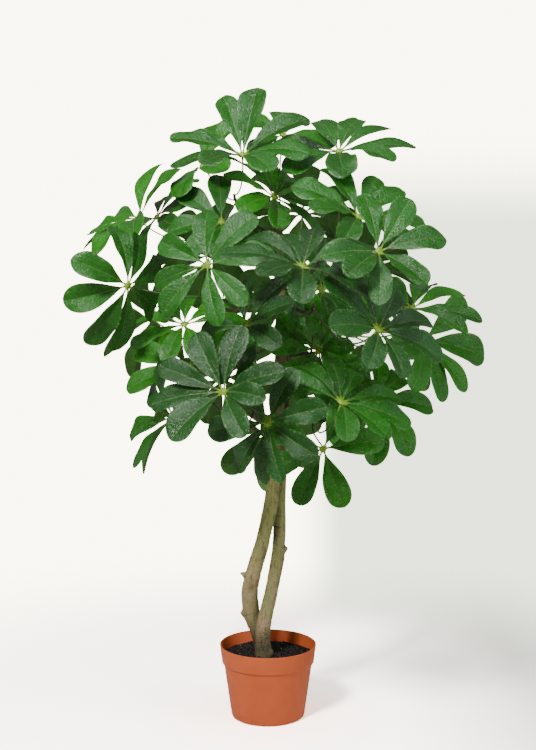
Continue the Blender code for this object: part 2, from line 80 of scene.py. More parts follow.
# Trunks: x, y, z and radius along each, from the soil up. Below the soil each goes straight down.
TRUNKS = {
    "trunk_left": (
        (-0.009, 0.019, 0.104, 0.0135),
        (-0.0125, 0.017, 0.121, 0.0125),
        (-0.0187, 0.014, 0.142, 0.0130),
        (-0.028, 0.011, 0.170, 0.0135),
        (-0.031, 0.006, 0.213, 0.0135),
        (-0.023, 0.002, 0.247, 0.0135),
        (-0.010, 0.000, 0.289, 0.0125),
        (-0.005, 0.000, 0.314, 0.0118),
        (0.005, 0.000, 0.355, 0.0115),
        (0.010, 0.000, 0.400, 0.0110),
        (0.016, 0.002, 0.500, 0.0100),
        (0.020, 0.004, 0.600, 0.0090),
        (0.021, 0.004, 0.717, 0.0080),
        (0.016, 0.000, 0.800, 0.0065),
        (0.012, -0.004, 0.845, 0.0050),
    ),
    "trunk_right": (
        (-0.008, -0.016, 0.104, 0.0145),
        (-0.0085, -0.0155, 0.125, 0.0120),
        (-0.009, -0.015, 0.148, 0.0118),
        (-0.002, -0.010, 0.180, 0.0118),
        (0.006, -0.004, 0.211, 0.0112),
        (0.014, 0.004, 0.250, 0.0110),
        (0.018, 0.008, 0.285, 0.0108),
        (0.019, 0.014, 0.318, 0.0104),
        (0.019, 0.021, 0.345, 0.0102),
        (0.020, 0.027, 0.380, 0.0100),
        (0.024, 0.034, 0.460, 0.0090),
        (0.030, 0.044, 0.560, 0.0075),
        (0.034, 0.056, 0.660, 0.0060),
    ),
}

# Knobs left by cut side shoots: height on the trunk, compass angle from +X, rise, length past the bark
# and radius
Stub = namedtuple("Stub", "height turn rise length radius")
STUBS = {
    "trunk_left": (
        Stub(0.238, 190, 35, 0.0065, 0.0035),
        Stub(0.170, 185, 5, 0.0035, 0.0050),
    ),
    "trunk_right": (
        Stub(0.280, -10, 20, 0.0040, 0.0045),
        Stub(0.112, -20, 10, 0.0030, 0.0055),
    ),
}

# Twigs: the trunk that each grows from, the height where it leaves it, and its tip
Twig = namedtuple("Twig", "trunk height tip")
TWIGS = {
    "branch_01": Twig("trunk_left", 0.800, (-0.055, 0.035, 0.865)),
    "branch_02": Twig("trunk_left", 0.755, (-0.125, 0.060, 0.790)),
    "branch_03": Twig("trunk_left", 0.715, (0.085, -0.040, 0.775)),
    "branch_04": Twig("trunk_left", 0.680, (-0.085, -0.085, 0.705)),
    "branch_05": Twig("trunk_left", 0.690, (0.070, -0.135, 0.700)),
    "branch_06": Twig("trunk_right", 0.600, (0.130, 0.005, 0.640)),
    "branch_07": Twig("trunk_left", 0.580, (-0.080, -0.025, 0.610)),
    "branch_08": Twig("trunk_left", 0.500, (-0.025, -0.120, 0.540)),
    "branch_09": Twig("trunk_right", 0.510, (0.095, -0.055, 0.515)),
    "branch_10": Twig("trunk_left", 0.470, (-0.080, 0.045, 0.520)),
    "branch_11": Twig("trunk_right", 0.630, (0.045, 0.150, 0.730)),
    "branch_12": Twig("trunk_right", 0.550, (-0.035, 0.150, 0.610)),
    "branch_13": Twig("trunk_right", 0.475, (0.065, 0.130, 0.520)),
}


def ring(count, start=0):
    """The angles of count leaflets spaced evenly round a hub, the first at start degrees."""
    return tuple(start + 360 * index / count for index in range(count))


def waver(count, start=0):
    """The lifts of count leaflets in degrees, which go up and down by 6 in turn round the hub."""
    return tuple(round(6 * math.sin(start + 2.1 * index)) for index in range(count))


# Leaves: the stem that carries each and how far along it, the hub's centre, the way it faces (turned from
# the front towards +X, tilted from straight up), the leaflets' length, how far they rise from the hub's
# plane, their tone (painted shade or light: dark for a leaf in shade, bright for one lit through), the
# leaflets' angles round the hub from its right, and how much more each rises
Leaf = namedtuple("Leaf", "stem along hub turn tilt length rise tone angles lifts")
LEAVES = (
    Leaf("branch_01", 0.95, (-0.039, -0.110, 0.9234), -5, 30, 0.113, 10, "middle",
         (30, 80, 110, 155, 186, 214, 243, 298, 345), (5, 24, 19, -4, 7, -3, 12, 3, -3)),
    Leaf("trunk_left", 0.97, (0.025, 0.070, 0.960), 26, 24, 0.101, 0, "bright",
         (45, 72, 119, 190, 217, 289, 345), (-6, 1, -5, 8, -8, 8, 2)),
    Leaf("branch_03", 0.99, (0.110, -0.060, 0.930), -8, 26, 0.115, 0, "middle",
         (5, 47, 80, 112, 170, 232, 278, 325), (0, 1, 3, 2, -4, 4, 3, 4)),
    Leaf("branch_03", 0.90, (0.135, -0.170, 0.830), 31, 37, 0.103, 8, "middle",
         (20, 48, 98, 142, 189, 224, 290, 346), (2, 4, 0, -4, 5, -4, 0, -4)),
    Leaf("trunk_left", 0.93, (0.010, -0.095, 0.860), 50, 44, 0.100, 0, "bright",
         (32, 61, 91, 163, 192, 228, 286, 344), (0, -1, -8, 8, -4, 4, 2, -4)),
    Leaf("branch_02", 0.98, (-0.2159, 0.090, 0.8248), -66, 40, 0.114, 7, "bright",
         (60, 116, 182, 211, 241, 288, 334), (5, 9, -7, 0, 0, -3, -4)),
    Leaf("branch_04", 0.98, (-0.215, -0.120, 0.725), 42, 90, 0.106, -21, "middle",
         (17, 53, 80, 152, 195, 239, 276, 329), (-3, -8, -15, 10, -4, 3, -4, -4)),
    Leaf("branch_04", 0.85, (-0.090, -0.190, 0.760), -27, 68, 0.098, -4, "middle",
         (12, 52, 104, 160, 197, 227, 296, 325), (-3, 1, -5, 7, -4, -5, 4, -2)),
    Leaf("branch_05", 0.85, (0.0485, -0.315, 0.7632), 21, 23, 0.112, 0, "dark",
         (11, 60, 88, 116, 163, 217, 248, 307), (8, 7, 0, -2, 2, 11, -1, -4)),
    Leaf("branch_03", 0.75, (0.155, -0.310, 0.785), 15, 55, 0.096, 15, "middle",
         (9, 52, 92, 193, 224, 256, 300), (-7, 1, -10, -1, 8, -7, 7)),
    Leaf("branch_05", 0.90, (0.155, -0.310, 0.675), 43, 48, 0.099, 8, "dark",
         (0, 43, 86, 130, 176, 220, 255, 314), (1, 4, 0, 3, 0, -5, 1, -2)),
    Leaf("branch_06", 0.50, (0.0796, -0.070, 0.621), -45, 85, 0.095, 13, "bright",
         (12, 38, 76, 152, 181, 225, 266, 306, 344), (0, 9, 12, -10, -4, 0, 0, 2, 4)),
    Leaf("branch_06", 0.98, (0.220, -0.120, 0.690), -9, 24, 0.104, -5, "bright",
         (40, 77, 120, 166, 212, 264, 318, 347), (1, -4, 2, -3, 3, 0, 0, 1)),
    Leaf("branch_06", 0.85, (0.245, -0.060, 0.635), 43, 69, 0.110, 15, "bright",
         (30, 190, 228, 260, 290, 336), (0, 3, -4, -4, 0, 1)),
    Leaf("branch_07", 0.70, (-0.035, -0.140, 0.665), -43, 53, 0.095, 0, "dark",
         (22, 66, 115, 188, 224, 272, 310, 342), (8, 0, 0, -3, -12, -3, 7, -1)),
    Leaf("branch_07", 0.98, (-0.135, 0.000, 0.655), -11, 27, 0.097, -7, "bright",
         (12, 54, 97, 133, 169, 228, 262, 297), (0, -3, 5, 0, -4, 8, 0, -3)),
    Leaf("branch_08", 0.85, (-0.065, -0.260, 0.580), -28, 60, 0.104, 13, "dark",
         (17, 82, 127, 168, 198, 244, 311, 348), (-1, 0, 3, 2, -4, 4, -1, 8)),
    Leaf("branch_08", 0.97, (0.000, -0.260, 0.535), -32, 85, 0.095, -1, "dark",
         (20, 61, 115, 193, 231, 265, 297, 336), (-10, -1, 0, 5, -9, -8, 10, 4)),
    Leaf("branch_09", 0.85, (0.1069, -0.250, 0.5636), 21, 33, 0.099, 0, "middle",
         (1, 52, 80, 108, 148, 255, 292, 326), (1, -6, 0, -5, 2, 3, 4, 0)),
    Leaf("branch_09", 0.60, (0.085, -0.140, 0.475), -12, 78, 0.098, 0, "bright",
         (13, 62, 160, 203, 246, 294), (-4, 0, 3, -3, 2, 0)),
    Leaf("branch_10", 0.98, (-0.160, 0.050, 0.495), -76, 75, 0.106, 21, "middle",
         (17, 65, 110, 159, 217, 256, 299), (7, 3, 0, -3, 8, 0, -5)),
    Leaf("branch_01", 0.80, (-0.075, 0.020, 0.820), -10, 50, 0.092, 0, "middle",
         (100, 145, 190, 235, 280, 325), (0, 5, -5, 0, 5, -5)),
    Leaf("branch_09", 0.97, (0.175, 0.000, 0.530), 23, 51, 0.108, -9, "bright",
         (38, 66, 103, 142, 214, 253, 290, 350), (-11, -5, 0, 3, 2, -1, 2, 5)),
    Leaf("branch_10", 0.85, (-0.135, 0.100, 0.575), -30, 50, 0.110, 0, "bright",
         (15, 60, 140, 174, 208, 300), (5, 0, -5, 5, 0, -5)),
    Leaf("branch_06", 0.30, (0.090, 0.090, 0.705), 10, 60, 0.105, 0, "middle",
         ring(8, 5), waver(8, 2)),
    Leaf("branch_02", 0.88, (-0.190, 0.150, 0.825), -67, 52, 0.098, -9, "middle",
         (24, 78, 132, 199, 250, 305, 352), (4, 0, -4, 1, -2, 3, -3)),
    Leaf("branch_01", 0.88, (-0.1113, 0.130, 0.9106), -50, 45, 0.112, 8, "bright",
         (70, 110, 300, 345), (1, -6, 5, 1)),
    Leaf("branch_11", 0.97, (0.060, 0.190, 0.830), 170, 45, 0.110, 0, "middle",
         ring(8, 10), waver(8, 4)),
    Leaf("branch_02", 0.70, (-0.100, 0.200, 0.760), -150, 55, 0.110, 0, "middle",
         ring(8), waver(8, 5)),
    Leaf("branch_11", 0.85, (0.170, 0.190, 0.740), 140, 55, 0.110, 0, "middle",
         ring(8, 20), waver(8)),
    Leaf("branch_12", 0.80, (0.030, 0.280, 0.660), 180, 65, 0.110, 0, "middle",
         ring(8), waver(8, 1)),
    Leaf("branch_12", 0.97, (-0.080, 0.230, 0.540), -160, 70, 0.105, 0, "dark",
         ring(8, 10), waver(8, 2)),
    Leaf("branch_13", 0.97, (0.120, 0.200, 0.520), 160, 70, 0.105, 0, "middle",
         ring(8), waver(8, 3)),
    Leaf("branch_11", 0.60, (0.230, 0.100, 0.620), 110, 60, 0.105, 0, "middle",
         ring(8, 20), waver(8, 4)),
    Leaf("branch_12", 0.60, (-0.200, 0.160, 0.650), -120, 60, 0.105, 0, "middle",
         ring(8), waver(8, 5)),
    Leaf("branch_13", 0.70, (0.000, 0.160, 0.450), 180, 85, 0.100, 0, "dark",
         ring(7, 10), waver(7)),
)


# ---------------------------------------------------------------- sizes of the detail, in metres

# Pot: how far its lip's corners are cut back, and the steps round it
LIP_ROUND = 0.0009
POT_STEPS = 180
# Lumps of the soil: the width and height of each size
SOIL_LUMPS = ((0.011, 0.0013), (0.0045, 0.0008), (0.0020, 0.0005))
# The soil rises round each trunk: how high, and how far out it falls to about a third of that
SOIL_RISE = 0.003
SOIL_RISE_REACH = 0.006
# Loose crumbs: how far they keep from the pot and from the bark
CRUMB_EDGE_GAP = 0.002
CRUMB_BARK_GAP = 0.0003

# Trunks: the sides of each ring, and the width of the bell curve that smooths their line
TRUNK_SIDES = 60
TRUNK_SMOOTHING = 0.008
# Lumps of the bark: the share of the bark's depth, the width, and the width as a share of the height
BARK_LUMPS = ((0.9, 0.022, 0.5), (0.55, 0.0085, 0.35), (0.28, 0.0035, 0.35))
# Ring scars on the bark: the height of the first, the mean spacing, and how far each strays from it
RING_SCAR_START = 0.13
RING_SCAR_SPACING = 0.019
RING_SCAR_STRAY = 0.006
# Centre of a dark scar where the right trunk leaves the soil
SCAR_CENTRE = (-0.006, -0.029, 0.135)

# Radius of a twig at its root and at its tip, the spacing of its leaf scars, and how far it runs back
# from the bark into its trunk
TWIG_RADII = (0.0036, 0.0022)
TWIG_NODE_SPACING = 0.014
TWIG_ROOT_DEPTH = 0.014

STALK_RADIUS = 0.00125
HUB_KNOB_RADIUS = 0.0054
# The bare stalk of a leaflet, as a share of its length
PETIOLULE_SHARE = 0.045
# Rings along a leaflet
LEAFLET_RINGS = 34
# Places across a leaflet, as shares of its half width, from one edge to the midrib
ACROSS = (1.0, 0.97, 0.86, 0.68, 0.48, 0.28, 0.12, 0.04)
# Side veins: how far apart they leave the midrib, and how far they run along for each step outwards
VEIN_SPACING = 0.0056
VEIN_LEAN = 0.6

# Camera: its place, and how many degrees it looks down
CAMERA_PLACE = (0.0, -2.353, 0.865)
CAMERA_DIP = 7.1
# Paper floor: how far it lies under the pot's foot, and the radii of its rings
FLOOR_DROP = 0.0004
FLOOR_RADII = (0.3, 1.0, 3.0)


# ---------------------------------------------------------------- settings

def to_linear(code):
    """The linear colour of an sRGB hex code."""
    share = np.array([int(code[at:at + 2], 16) for at in (1, 3, 5)]) / 255
    linear = np.where(share <= 0.04045, share / 12.92, ((share + 0.055) / 1.055) ** 2.4)
    return tuple(float(value) for value in linear)


def colour_setting(name, description, code):
    """A colour that a user can change, with its sRGB hex default."""
    return bpy.props.FloatVectorProperty(
        name=name, description=description, subtype="COLOR", min=0.0, max=1.0, default=to_linear(code))


class PlantSizes(bpy.types.PropertyGroup):
    """Sizes that shape the leaves, bark and soil."""

    blade_width: bpy.props.FloatProperty(
        name="Leaflet width", description="Widest part of a leaflet as a share of its length",
        subtype="FACTOR", min=0.2, max=0.6, default=0.435)
    blade_thickness: bpy.props.FloatProperty(
        name="Leaflet thickness", description="Thickness of a leaflet at its midrib",
        unit="LENGTH", min=0.0002, max=0.0015, default=0.0005)
    blade_fold: bpy.props.FloatProperty(
        name="Leaflet fold", description="How far each half of a leaflet rises from the midrib",
        subtype="ANGLE", min=0.0, max=math.radians(45), default=math.radians(21))
    blade_wave: bpy.props.FloatProperty(
        name="Edge wave", description="Height of the waves along a leaflet's edge",
        unit="LENGTH", min=0.0, max=0.005, default=0.0019)
    bark_lump: bpy.props.FloatProperty(
        name="Bark lumps", description="Depth of the lumps and ridges of the bark",
        unit="LENGTH", min=0.0, max=0.003, default=0.0010)
    crumb_count: bpy.props.IntProperty(
        name="Soil crumbs", description="Number of loose crumbs on the soil", min=0, max=12000, default=7600)
    crumb_size: bpy.props.FloatProperty(
        name="Crumb size", description="Radius of a middling crumb of soil",
        unit="LENGTH", min=0.0003, max=0.004, default=0.0009)


class PlantColours(bpy.types.PropertyGroup):
    """Colours of the finishes."""

    pot: colour_setting("Pot", "Terracotta-coloured plastic", "#C65B2E")
    soil: colour_setting("Soil", "Damp peat", "#1E1917")
    bark: colour_setting("Bark", "Grey-olive bark", "#9A9E5A")
    bark_dark: colour_setting("Bark cracks", "Brown of the cracks and scars", "#4A4029")
    twig: colour_setting("Twigs", "Dark brown twigs", "#3B3A24")
    # Painted shade and light: the three leaf greens are lit and shaded copies of one green, not leaf ages.
    # The darker, bluer one goes on leaves that lie in shade, the brighter, yellower one on leaves lit through
    # from behind
    leaf_dark: colour_setting("Oldest leaves", "Blue-green of the oldest leaves", "#104F18")
    leaf_middle: colour_setting("Middle leaves", "Green of the full-grown leaves", "#166911")
    leaf_bright: colour_setting("Young leaves", "Yellower green of the young leaves", "#24840C")
    underside: colour_setting("Underside", "Pale green of a leaf's underside", "#558F3A")
    vein: colour_setting("Midrib", "Pale green of the midrib", "#86AA5A")
    hub: colour_setting("Hub", "Yellow-green of the leaf hubs", "#98C434")


class StageSettings(bpy.types.PropertyGroup):
    """The studio's light."""

    key_power: bpy.props.FloatProperty(
        name="Key light", description="Power of the small bright softbox", subtype="POWER",
        min=0.0, default=98.0)
    fill_power: bpy.props.FloatProperty(
        name="Fill light", description="Power of the softbox opposite", subtype="POWER",
        min=0.0, default=31.0)
    overhead_power: bpy.props.FloatProperty(
        name="Overhead power", description="Power of the overhead softbox, which only adds sheen, in watts",
        subtype="POWER", min=0.0, default=73.0)
    ambient: bpy.props.FloatProperty(
        name="Ambient", description="Brightness of the room on the plant", min=0.0, default=0.32)
    floor_gain: bpy.props.FloatProperty(
        name="Floor exposure", description="How much brighter the floor is exposed than the plant",
        min=1.0, default=6.95)


# ---------------------------------------------------------------- meshes

Skin = namedtuple("Skin", "points quads triangles layers")


def grid_faces(rows, columns):
    """The faces of a closed tube of rows of points, with a pole after the last row at each end.

    Point row * columns + column is a grid point. The first end's pole comes next, then the last end's.
    """
    row, column = np.meshgrid(np.arange(rows - 1), np.arange(columns), indexing="ij")
    beside = (column + 1) % columns
    quads = np.stack([row * columns + column, row * columns + beside,
                      (row + 1) * columns + beside, (row + 1) * columns + column], axis=-1)
    here = np.arange(columns)
    after = (here + 1) % columns
    pole = np.full(columns, rows * columns)
    end = (rows - 1) * columns
    triangles = np.concatenate([np.stack([pole, after, here], axis=-1),
                                np.stack([pole + 1, end + here, end + after], axis=-1)])
    return quads.reshape(-1, 4), triangles


def tube_skin(grid, first, last, **layers):
    """The closed surface of a grid of points (rows, columns, 3) and its two poles.

    Each layer is a number for every grid point; a pole takes the mean of the row beside it.
    """
    rows, columns = grid.shape[:2]
    points = np.concatenate([grid.reshape(-1, 3), [first, last]])
    filled = {}
    for name, values in layers.items():
        values = np.broadcast_to(values, (rows, columns))
        filled[name] = np.concatenate([values.ravel(), [values[0].mean(), values[-1].mean()]])
    return Skin(points, *grid_faces(rows, columns), filled)


def joined(skins):
    """Several skins as one, each with its faces moved past the points before it.

    It has the first skin's layers, which are 0 on a skin that lacks them.
    """
    starts = np.cumsum([0] + [len(skin.points) for skin in skins[:-1]])
    layers = {name: np.concatenate([skin.layers.get(name, np.zeros(len(skin.points))) for skin in skins])
              for name in skins[0].layers}
    return Skin(
        np.concatenate([skin.points for skin in skins]),
        np.concatenate([skin.quads + start for skin, start in zip(skins, starts)]),
        np.concatenate([skin.triangles + start for skin, start in zip(skins, starts)]),
        layers)


def mesh_of(name, skin, sharp=math.radians(60)):
    """A mesh of the skin, smooth except at corners sharper than the angle, with its layers as attributes."""
    old = bpy.data.objects.get(name)
    if old:
        bpy.data.objects.remove(old)
    mesh = bpy.data.meshes.new(name)
    corners = np.concatenate([skin.quads.ravel(), skin.triangles.ravel()])
    sizes = np.concatenate([np.full(len(skin.quads), 4), np.full(len(skin.triangles), 3)])
    mesh.vertices.add(len(skin.points))
    mesh.vertices.foreach_set("co", skin.points.astype(np.float32).ravel())
    mesh.loops.add(len(corners))
    mesh.loops.foreach_set("vertex_index", corners.astype(np.int32))
    mesh.polygons.add(len(sizes))
    mesh.polygons.foreach_set("loop_start", (np.cumsum(sizes) - sizes).astype(np.int32))
    mesh.update(calc_edges=True)
    for layer, values in skin.layers.items():
        mesh.attributes.new(layer, "FLOAT", "POINT").data.foreach_set("value", values.astype(np.float32))
    mesh.shade_smooth()
    mesh.set_sharp_from_angle(angle=sharp)
    return mesh


def add_piece(name, mesh, materials, slot, *nodes):
    """A piece of the plant, at rest on its body, in place of the frame's nodes."""
    for material in materials:
        mesh.materials.append(material)
    piece = bpy.data.objects.new(name, mesh)
    bpy.context.scene.collection.objects.link(piece)
    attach(piece, BODY)
    if nodes:
        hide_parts(*nodes)
    return piece


def smooth_step(low, high, value):
    """0 below low, 1 above high, and an even S between them."""
    share = np.clip((value - low) / (high - low), 0.0, 1.0)
    return share * share * (3 - 2 * share)


def noise(points, cell, seed):
    """Noise from -1 to 1: a random value at each corner of a cubic lattice, blended smoothly between."""
    where = points / cell
    low = np.floor(where).astype(np.int64)
    part = where - low
    part = part * part * (3 - 2 * part)
    total = 0.0
    for corner in itertools.product((0, 1), repeat=3):
        at = (low + corner).astype(np.uint64)
        mixed = at[..., 0] * np.uint64(73856093) ^ at[..., 1] * np.uint64(19349663)
        mixed = mixed ^ at[..., 2] * np.uint64(83492791) ^ np.uint64(seed * 2654435761)
        mixed = (mixed ^ (mixed >> np.uint64(29))) * np.uint64(1274126177)
        mixed = (mixed ^ (mixed >> np.uint64(31))) & np.uint64(0xFFFFFF)
        weight = np.where(corner, part, 1 - part).prod(axis=-1)
        total = total + weight * (mixed / float(0xFFFFFF))
    return 2 * total - 1


def unit(vectors):
    """The vectors at length 1."""
    return vectors / np.linalg.norm(vectors, axis=-1, keepdims=True)


def bezier(corners, t):
    """Points on the cubic Bezier curve of four corners, at each t."""
    t = np.asarray(t)[..., None]
    start, first, second, end = corners
    return (1 - t) ** 3 * start + 3 * (1 - t) ** 2 * t * first + 3 * (1 - t) * t * t * second + t ** 3 * end


def rings_round(path, radii, sides):
    """A ring of points round each point of a path: the point plus radius times a turning unit vector.

    The unit vector turns in the plane square to the path, from a fixed sideways direction.
    """
    along = unit(np.gradient(path, axis=0))
    chord = unit(path[-1] - path[0])
    sideways = np.cross(chord, np.eye(3)[np.abs(chord).argmin()])
    first = unit(sideways - (along @ sideways)[:, None] * along)
    second = np.cross(along, first)
    turn = np.arange(sides) * math.tau / sides
    radii = np.broadcast_to(np.asarray(radii, float).reshape(len(path), -1), (len(path), sides))
    spokes = np.cos(turn)[:, None] * first[:, None, :] + np.sin(turn)[:, None] * second[:, None, :]
    return path[:, None, :] + radii[..., None] * spokes


# ---------------------------------------------------------------- finishes

def add_node(tree, kind, links=(), **settings):
    """Adds a node with its settings. Each link gives an input a node, a socket, a value or a hex colour.

    Links are given by the inputs' names, or in their order. A MapRange takes a value, the two ends that
    it comes from and the two that it goes to, which are 0 and 1 where they are left out.
    """
    node = tree.nodes.new("ShaderNode" + kind)
    for name, value in settings.items():
        setattr(node, name, value)
    live = [socket for socket in node.inputs if socket.enabled]
    for key, value in links.items() if isinstance(links, dict) else enumerate(links):
        socket = live[key] if isinstance(key, int) else next(item for item in live if item.name == key)
        if isinstance(value, bpy.types.Node):
            value = next(item for item in value.outputs if item.enabled)
        if isinstance(value, bpy.types.NodeSocket):
            tree.links.new(value, socket)
        elif socket.type == "RGBA":
            colour = to_linear(value) if isinstance(value, str) else value
            socket.default_value = (*colour[:3], 1.0)
        else:
            socket.default_value = value
    return node


def new_finish(name):
    """A new material, the function that adds nodes to its empty tree, and the place on the piece."""
    old = bpy.data.materials.get(name)
    if old:
        bpy.data.materials.remove(old)
    material = bpy.data.materials.new(name)
    material.use_nodes = True
    material.node_tree.nodes.clear()
    add = partial(add_node, material.node_tree)
    return material, add, add("TexCoord").outputs["Object"]


def scaled(colour, gain):
    """A colour, lighter or darker by the gain."""
    return tuple(gain * value for value in colour)


def coat(add, under, colour, mask, bare=0.0, full=1.0, most=1.0):
    """A colour laid over another: none where the mask is at bare, and the share most where it is at full."""
    cover = add("MapRange", (mask, bare, full, 0.0, most))
    return add("Mix", (cover, under, colour), data_type="RGBA")


def surfaced(material, add, colour, roughness, height, strength, depth, more=()):
    """The material, with a surface of a colour, a roughness, a relief of a depth, and anything more."""
    bump = add("Bump", {"Height": height, "Strength": strength, "Distance": depth})
    links = {"Base Color": colour, "Roughness": roughness, "Normal": bump, **dict(more)}
    add("OutputMaterial", (add("BsdfPrincipled", links),))
    return material


def plastic_finish(colours):
    """Injection-moulded polypropylene: satin, with broad soft reflections and a very fine orange peel."""
    material, add, where = new_finish("moulded_polypropylene")
    # Cloudy patches about 30 mm across, where the colour of the melt is uneven
    clouds = add("TexNoise", {"Vector": where, "Scale": 33.0, "Detail": 3.0})
    # Orange peel: bumps 0.6 mm across, drawn twice as coarse as real so that they show
    peel = add("TexNoise", {"Vector": where, "Scale": 900.0, "Detail": 2.0})
    scuffs = add("TexNoise", {"Vector": where, "Scale": 160.0, "Detail": 6.0, "Roughness": 0.7})
    pale = [1.10 * value + 0.004 for value in colours.pot]
    base = coat(add, scaled(colours.pot, 0.86), pale, clouds)
    # Dust and splashes of soil: brown low on the body
    height = add("SeparateXYZ", (where,)).outputs["Z"]
    low = add("MapRange", (height, 0.045, 0.0, 0.0, 0.30))
    base = coat(add, base, "#8E5A40", add("Math", (low, scuffs), operation="MULTIPLY"))
    rough = add("MapRange", (scuffs, 0.3, 0.7, 0.44, 0.56))
    return surfaced(material, add, base, rough, peel, 0.25, 0.0001,
                    {"IOR": 1.49, "Specular IOR Level": 0.36})


def peat_finish(colours):
    """Damp peat soil: nearly black, dull, with brown and grey grains about 1 mm across."""
    material, add, where = new_finish("damp_peat")
    grains = add("TexVoronoi", {"Vector": where, "Scale": 800.0})
    patches = add("TexNoise", {"Vector": where, "Scale": 90.0, "Detail": 5.0})
    shade = coat(add, scaled(colours.soil, 0.35), scaled(colours.soil, 1.5), patches)
    shade = coat(add, shade, "#34332F", grains.outputs["Color"], 0.75, 0.95)
    return surfaced(material, add, shade, 0.9, grains.outputs["Distance"], 0.8, 0.0008,
                    {"Specular IOR Level": 0.2})


def crumb_finish(colours):
    """Crumbs of peat, bark and grit: black and brown, some bluish grey, a few pale."""
    material, add, where = new_finish("peat_crumbs")
    kind = add("Attribute", attribute_name="kind").outputs["Fac"]
    speckle = add("TexNoise", {"Vector": where, "Scale": 1400.0, "Detail": 3.0})
    shade = coat(add, scaled(colours.soil, 0.30), scaled(colours.soil, 1.7), kind, 0.0, 0.8)
    shade = coat(add, shade, "#3E3C38", kind, 0.80, 0.83)
    shade = coat(add, shade, "#B7A58C", kind, 0.996, 0.998)
    shade = add("Mix", (0.5, shade, speckle), data_type="RGBA", blend_type="OVERLAY")
    return surfaced(material, add, shade, 0.85, speckle, 0.6, 0.0003, {"Specular IOR Level": 0.25})


def bark_finish(colours):
    """Smooth grey-olive bark: dull and slightly waxy, with brown specks, ring scars and a cracked foot, and
    painted shade in its hollows and inside the crown.
    """
    material, add, where = new_finish("smooth_bark")
    height = add("SeparateXYZ", (where,)).outputs["Z"]
    relief = add("Attribute", attribute_name="relief").outputs["Fac"]
    # Weathered patches about 20 mm wide and streaks three times as long as they are wide
    along = add("Mapping", {"Vector": where, "Scale": (1.0, 1.0, 0.28)})
    patches = add("TexNoise", {"Vector": along, "Scale": 48.0, "Detail": 4.0})
    streaks = add("TexNoise", {"Vector": along, "Scale": 260.0, "Detail": 5.0, "Roughness": 0.65})
    specks = add("TexNoise", {"Vector": where, "Scale": 620.0, "Detail": 2.0})
    cracks = add("TexVoronoi", {"Vector": along, "Scale": 170.0}, feature="DISTANCE_TO_EDGE")
    shade = coat(add, "#848556", "#9F8866", patches, 0.38, 0.62)
    # Young bark higher up is greener; inside the crown the bark is darkened with painted shade from the
    # leaves above
    shade = coat(add, shade, colours.bark, height, 0.20, 0.34, 0.85)
    shade = coat(add, shade, "#5E5A34", height, 0.40, 0.48, 0.85)
    shade = coat(add, shade, colours.bark_dark, streaks, 0.52, 0.66, 0.70)
    shade = coat(add, shade, scaled(colours.bark_dark, 0.6), specks, 0.60, 0.68, 0.6)
    # The foot is browner and its cracks hold dirt; the hollows of the bark get painted shade
    foot = add("MapRange", (height, 0.165, 0.120, 0.0, 0.80))
    shade = coat(add, shade, "#3C3522", foot)
    # Painted shade: the deeper a hollow in the bark's relief, the darker it is
    painted_hollow_shade = add("MapRange", (relief, -0.2, -1.0))
    cracked = add("MapRange", (cracks, 0.06, 0.0))
    cracked = add("Math", (cracked, foot), operation="MULTIPLY")
    crack_dirt_and_hollow_shade = add("Math", (painted_hollow_shade, cracked), operation="MAXIMUM")
    shade = coat(add, shade, scaled(colours.bark_dark, 0.5), crack_dirt_and_hollow_shade, most=0.85)
    # A dark pitted scar 25 mm tall where the right trunk leaves the soil
    beside = add("VectorMath", (where, SCAR_CENTRE), operation="SUBTRACT")
    squeezed = add("Mapping", {"Vector": beside, "Scale": (1.0, 1.0, 0.5)})
    far = add("VectorMath", (squeezed,), operation="LENGTH").outputs["Value"]
    within = add("MapRange", (far, 0.0135, 0.0060))
    pits = add("TexNoise", {"Vector": where, "Scale": 480.0, "Detail": 2.0})
    pitted = add("MapRange", (pits, 0.50, 0.56, 0.08, 0.95))
    scarred = add("Math", (within, pitted), operation="MULTIPLY")
    shade = coat(add, shade, scaled(colours.bark_dark, 0.4), scarred)
    grain = add("Math", (streaks, specks), operation="ADD")
    return surfaced(material, add, shade, 0.72, grain, 0.8, 0.0010, {"IOR": 1.45})


def twig_finish(colours):
    """Young woody twigs: dark olive brown, dull, with paler corky dots."""
    material, add, where = new_finish("woody_twig")
    patches = add("TexNoise", {"Vector": where, "Scale": 150.0, "Detail": 4.0})
    dots = add("TexNoise", {"Vector": where, "Scale": 700.0, "Detail": 1.0})
    shade = coat(add, scaled(colours.twig, 0.55), scaled(colours.twig, 1.7), patches)
    shade = coat(add, shade, colours.bark, dots, 0.64, 0.70, 0.6)
    return surfaced(material, add, shade, 0.7, patches, 0.5, 0.0004)


def stalk_finish(colours):
    """Green leaf stalks: smooth and slightly waxy, brown at the twig, yellow-green at the hub."""
    material, add, where = new_finish("green_stalk")
    along = add("Attribute", attribute_name="along").outputs["Fac"]
    mottle = add("TexNoise", {"Vector": where, "Scale": 420.0, "Detail": 3.0})
    shade = coat(add, colours.twig, "#3F4E22", along, 0.0, 0.35)
    shade = coat(add, shade, colours.hub, along, 0.80, 1.0)
    # The hub's face, where the layer goes on from 1 to 2, is a deeper green
    shade = coat(add, shade, "#6E8C18", along, 1.35, 1.9, 0.9)
    mottled = add("MapRange", (mottle, 0.3, 0.7, 0.75, 1.2))
    shade = add("VectorMath", (shade, mottled), operation="SCALE")
    return surfaced(material, add, shade, 0.45, mottle, 0.3, 0.0002)


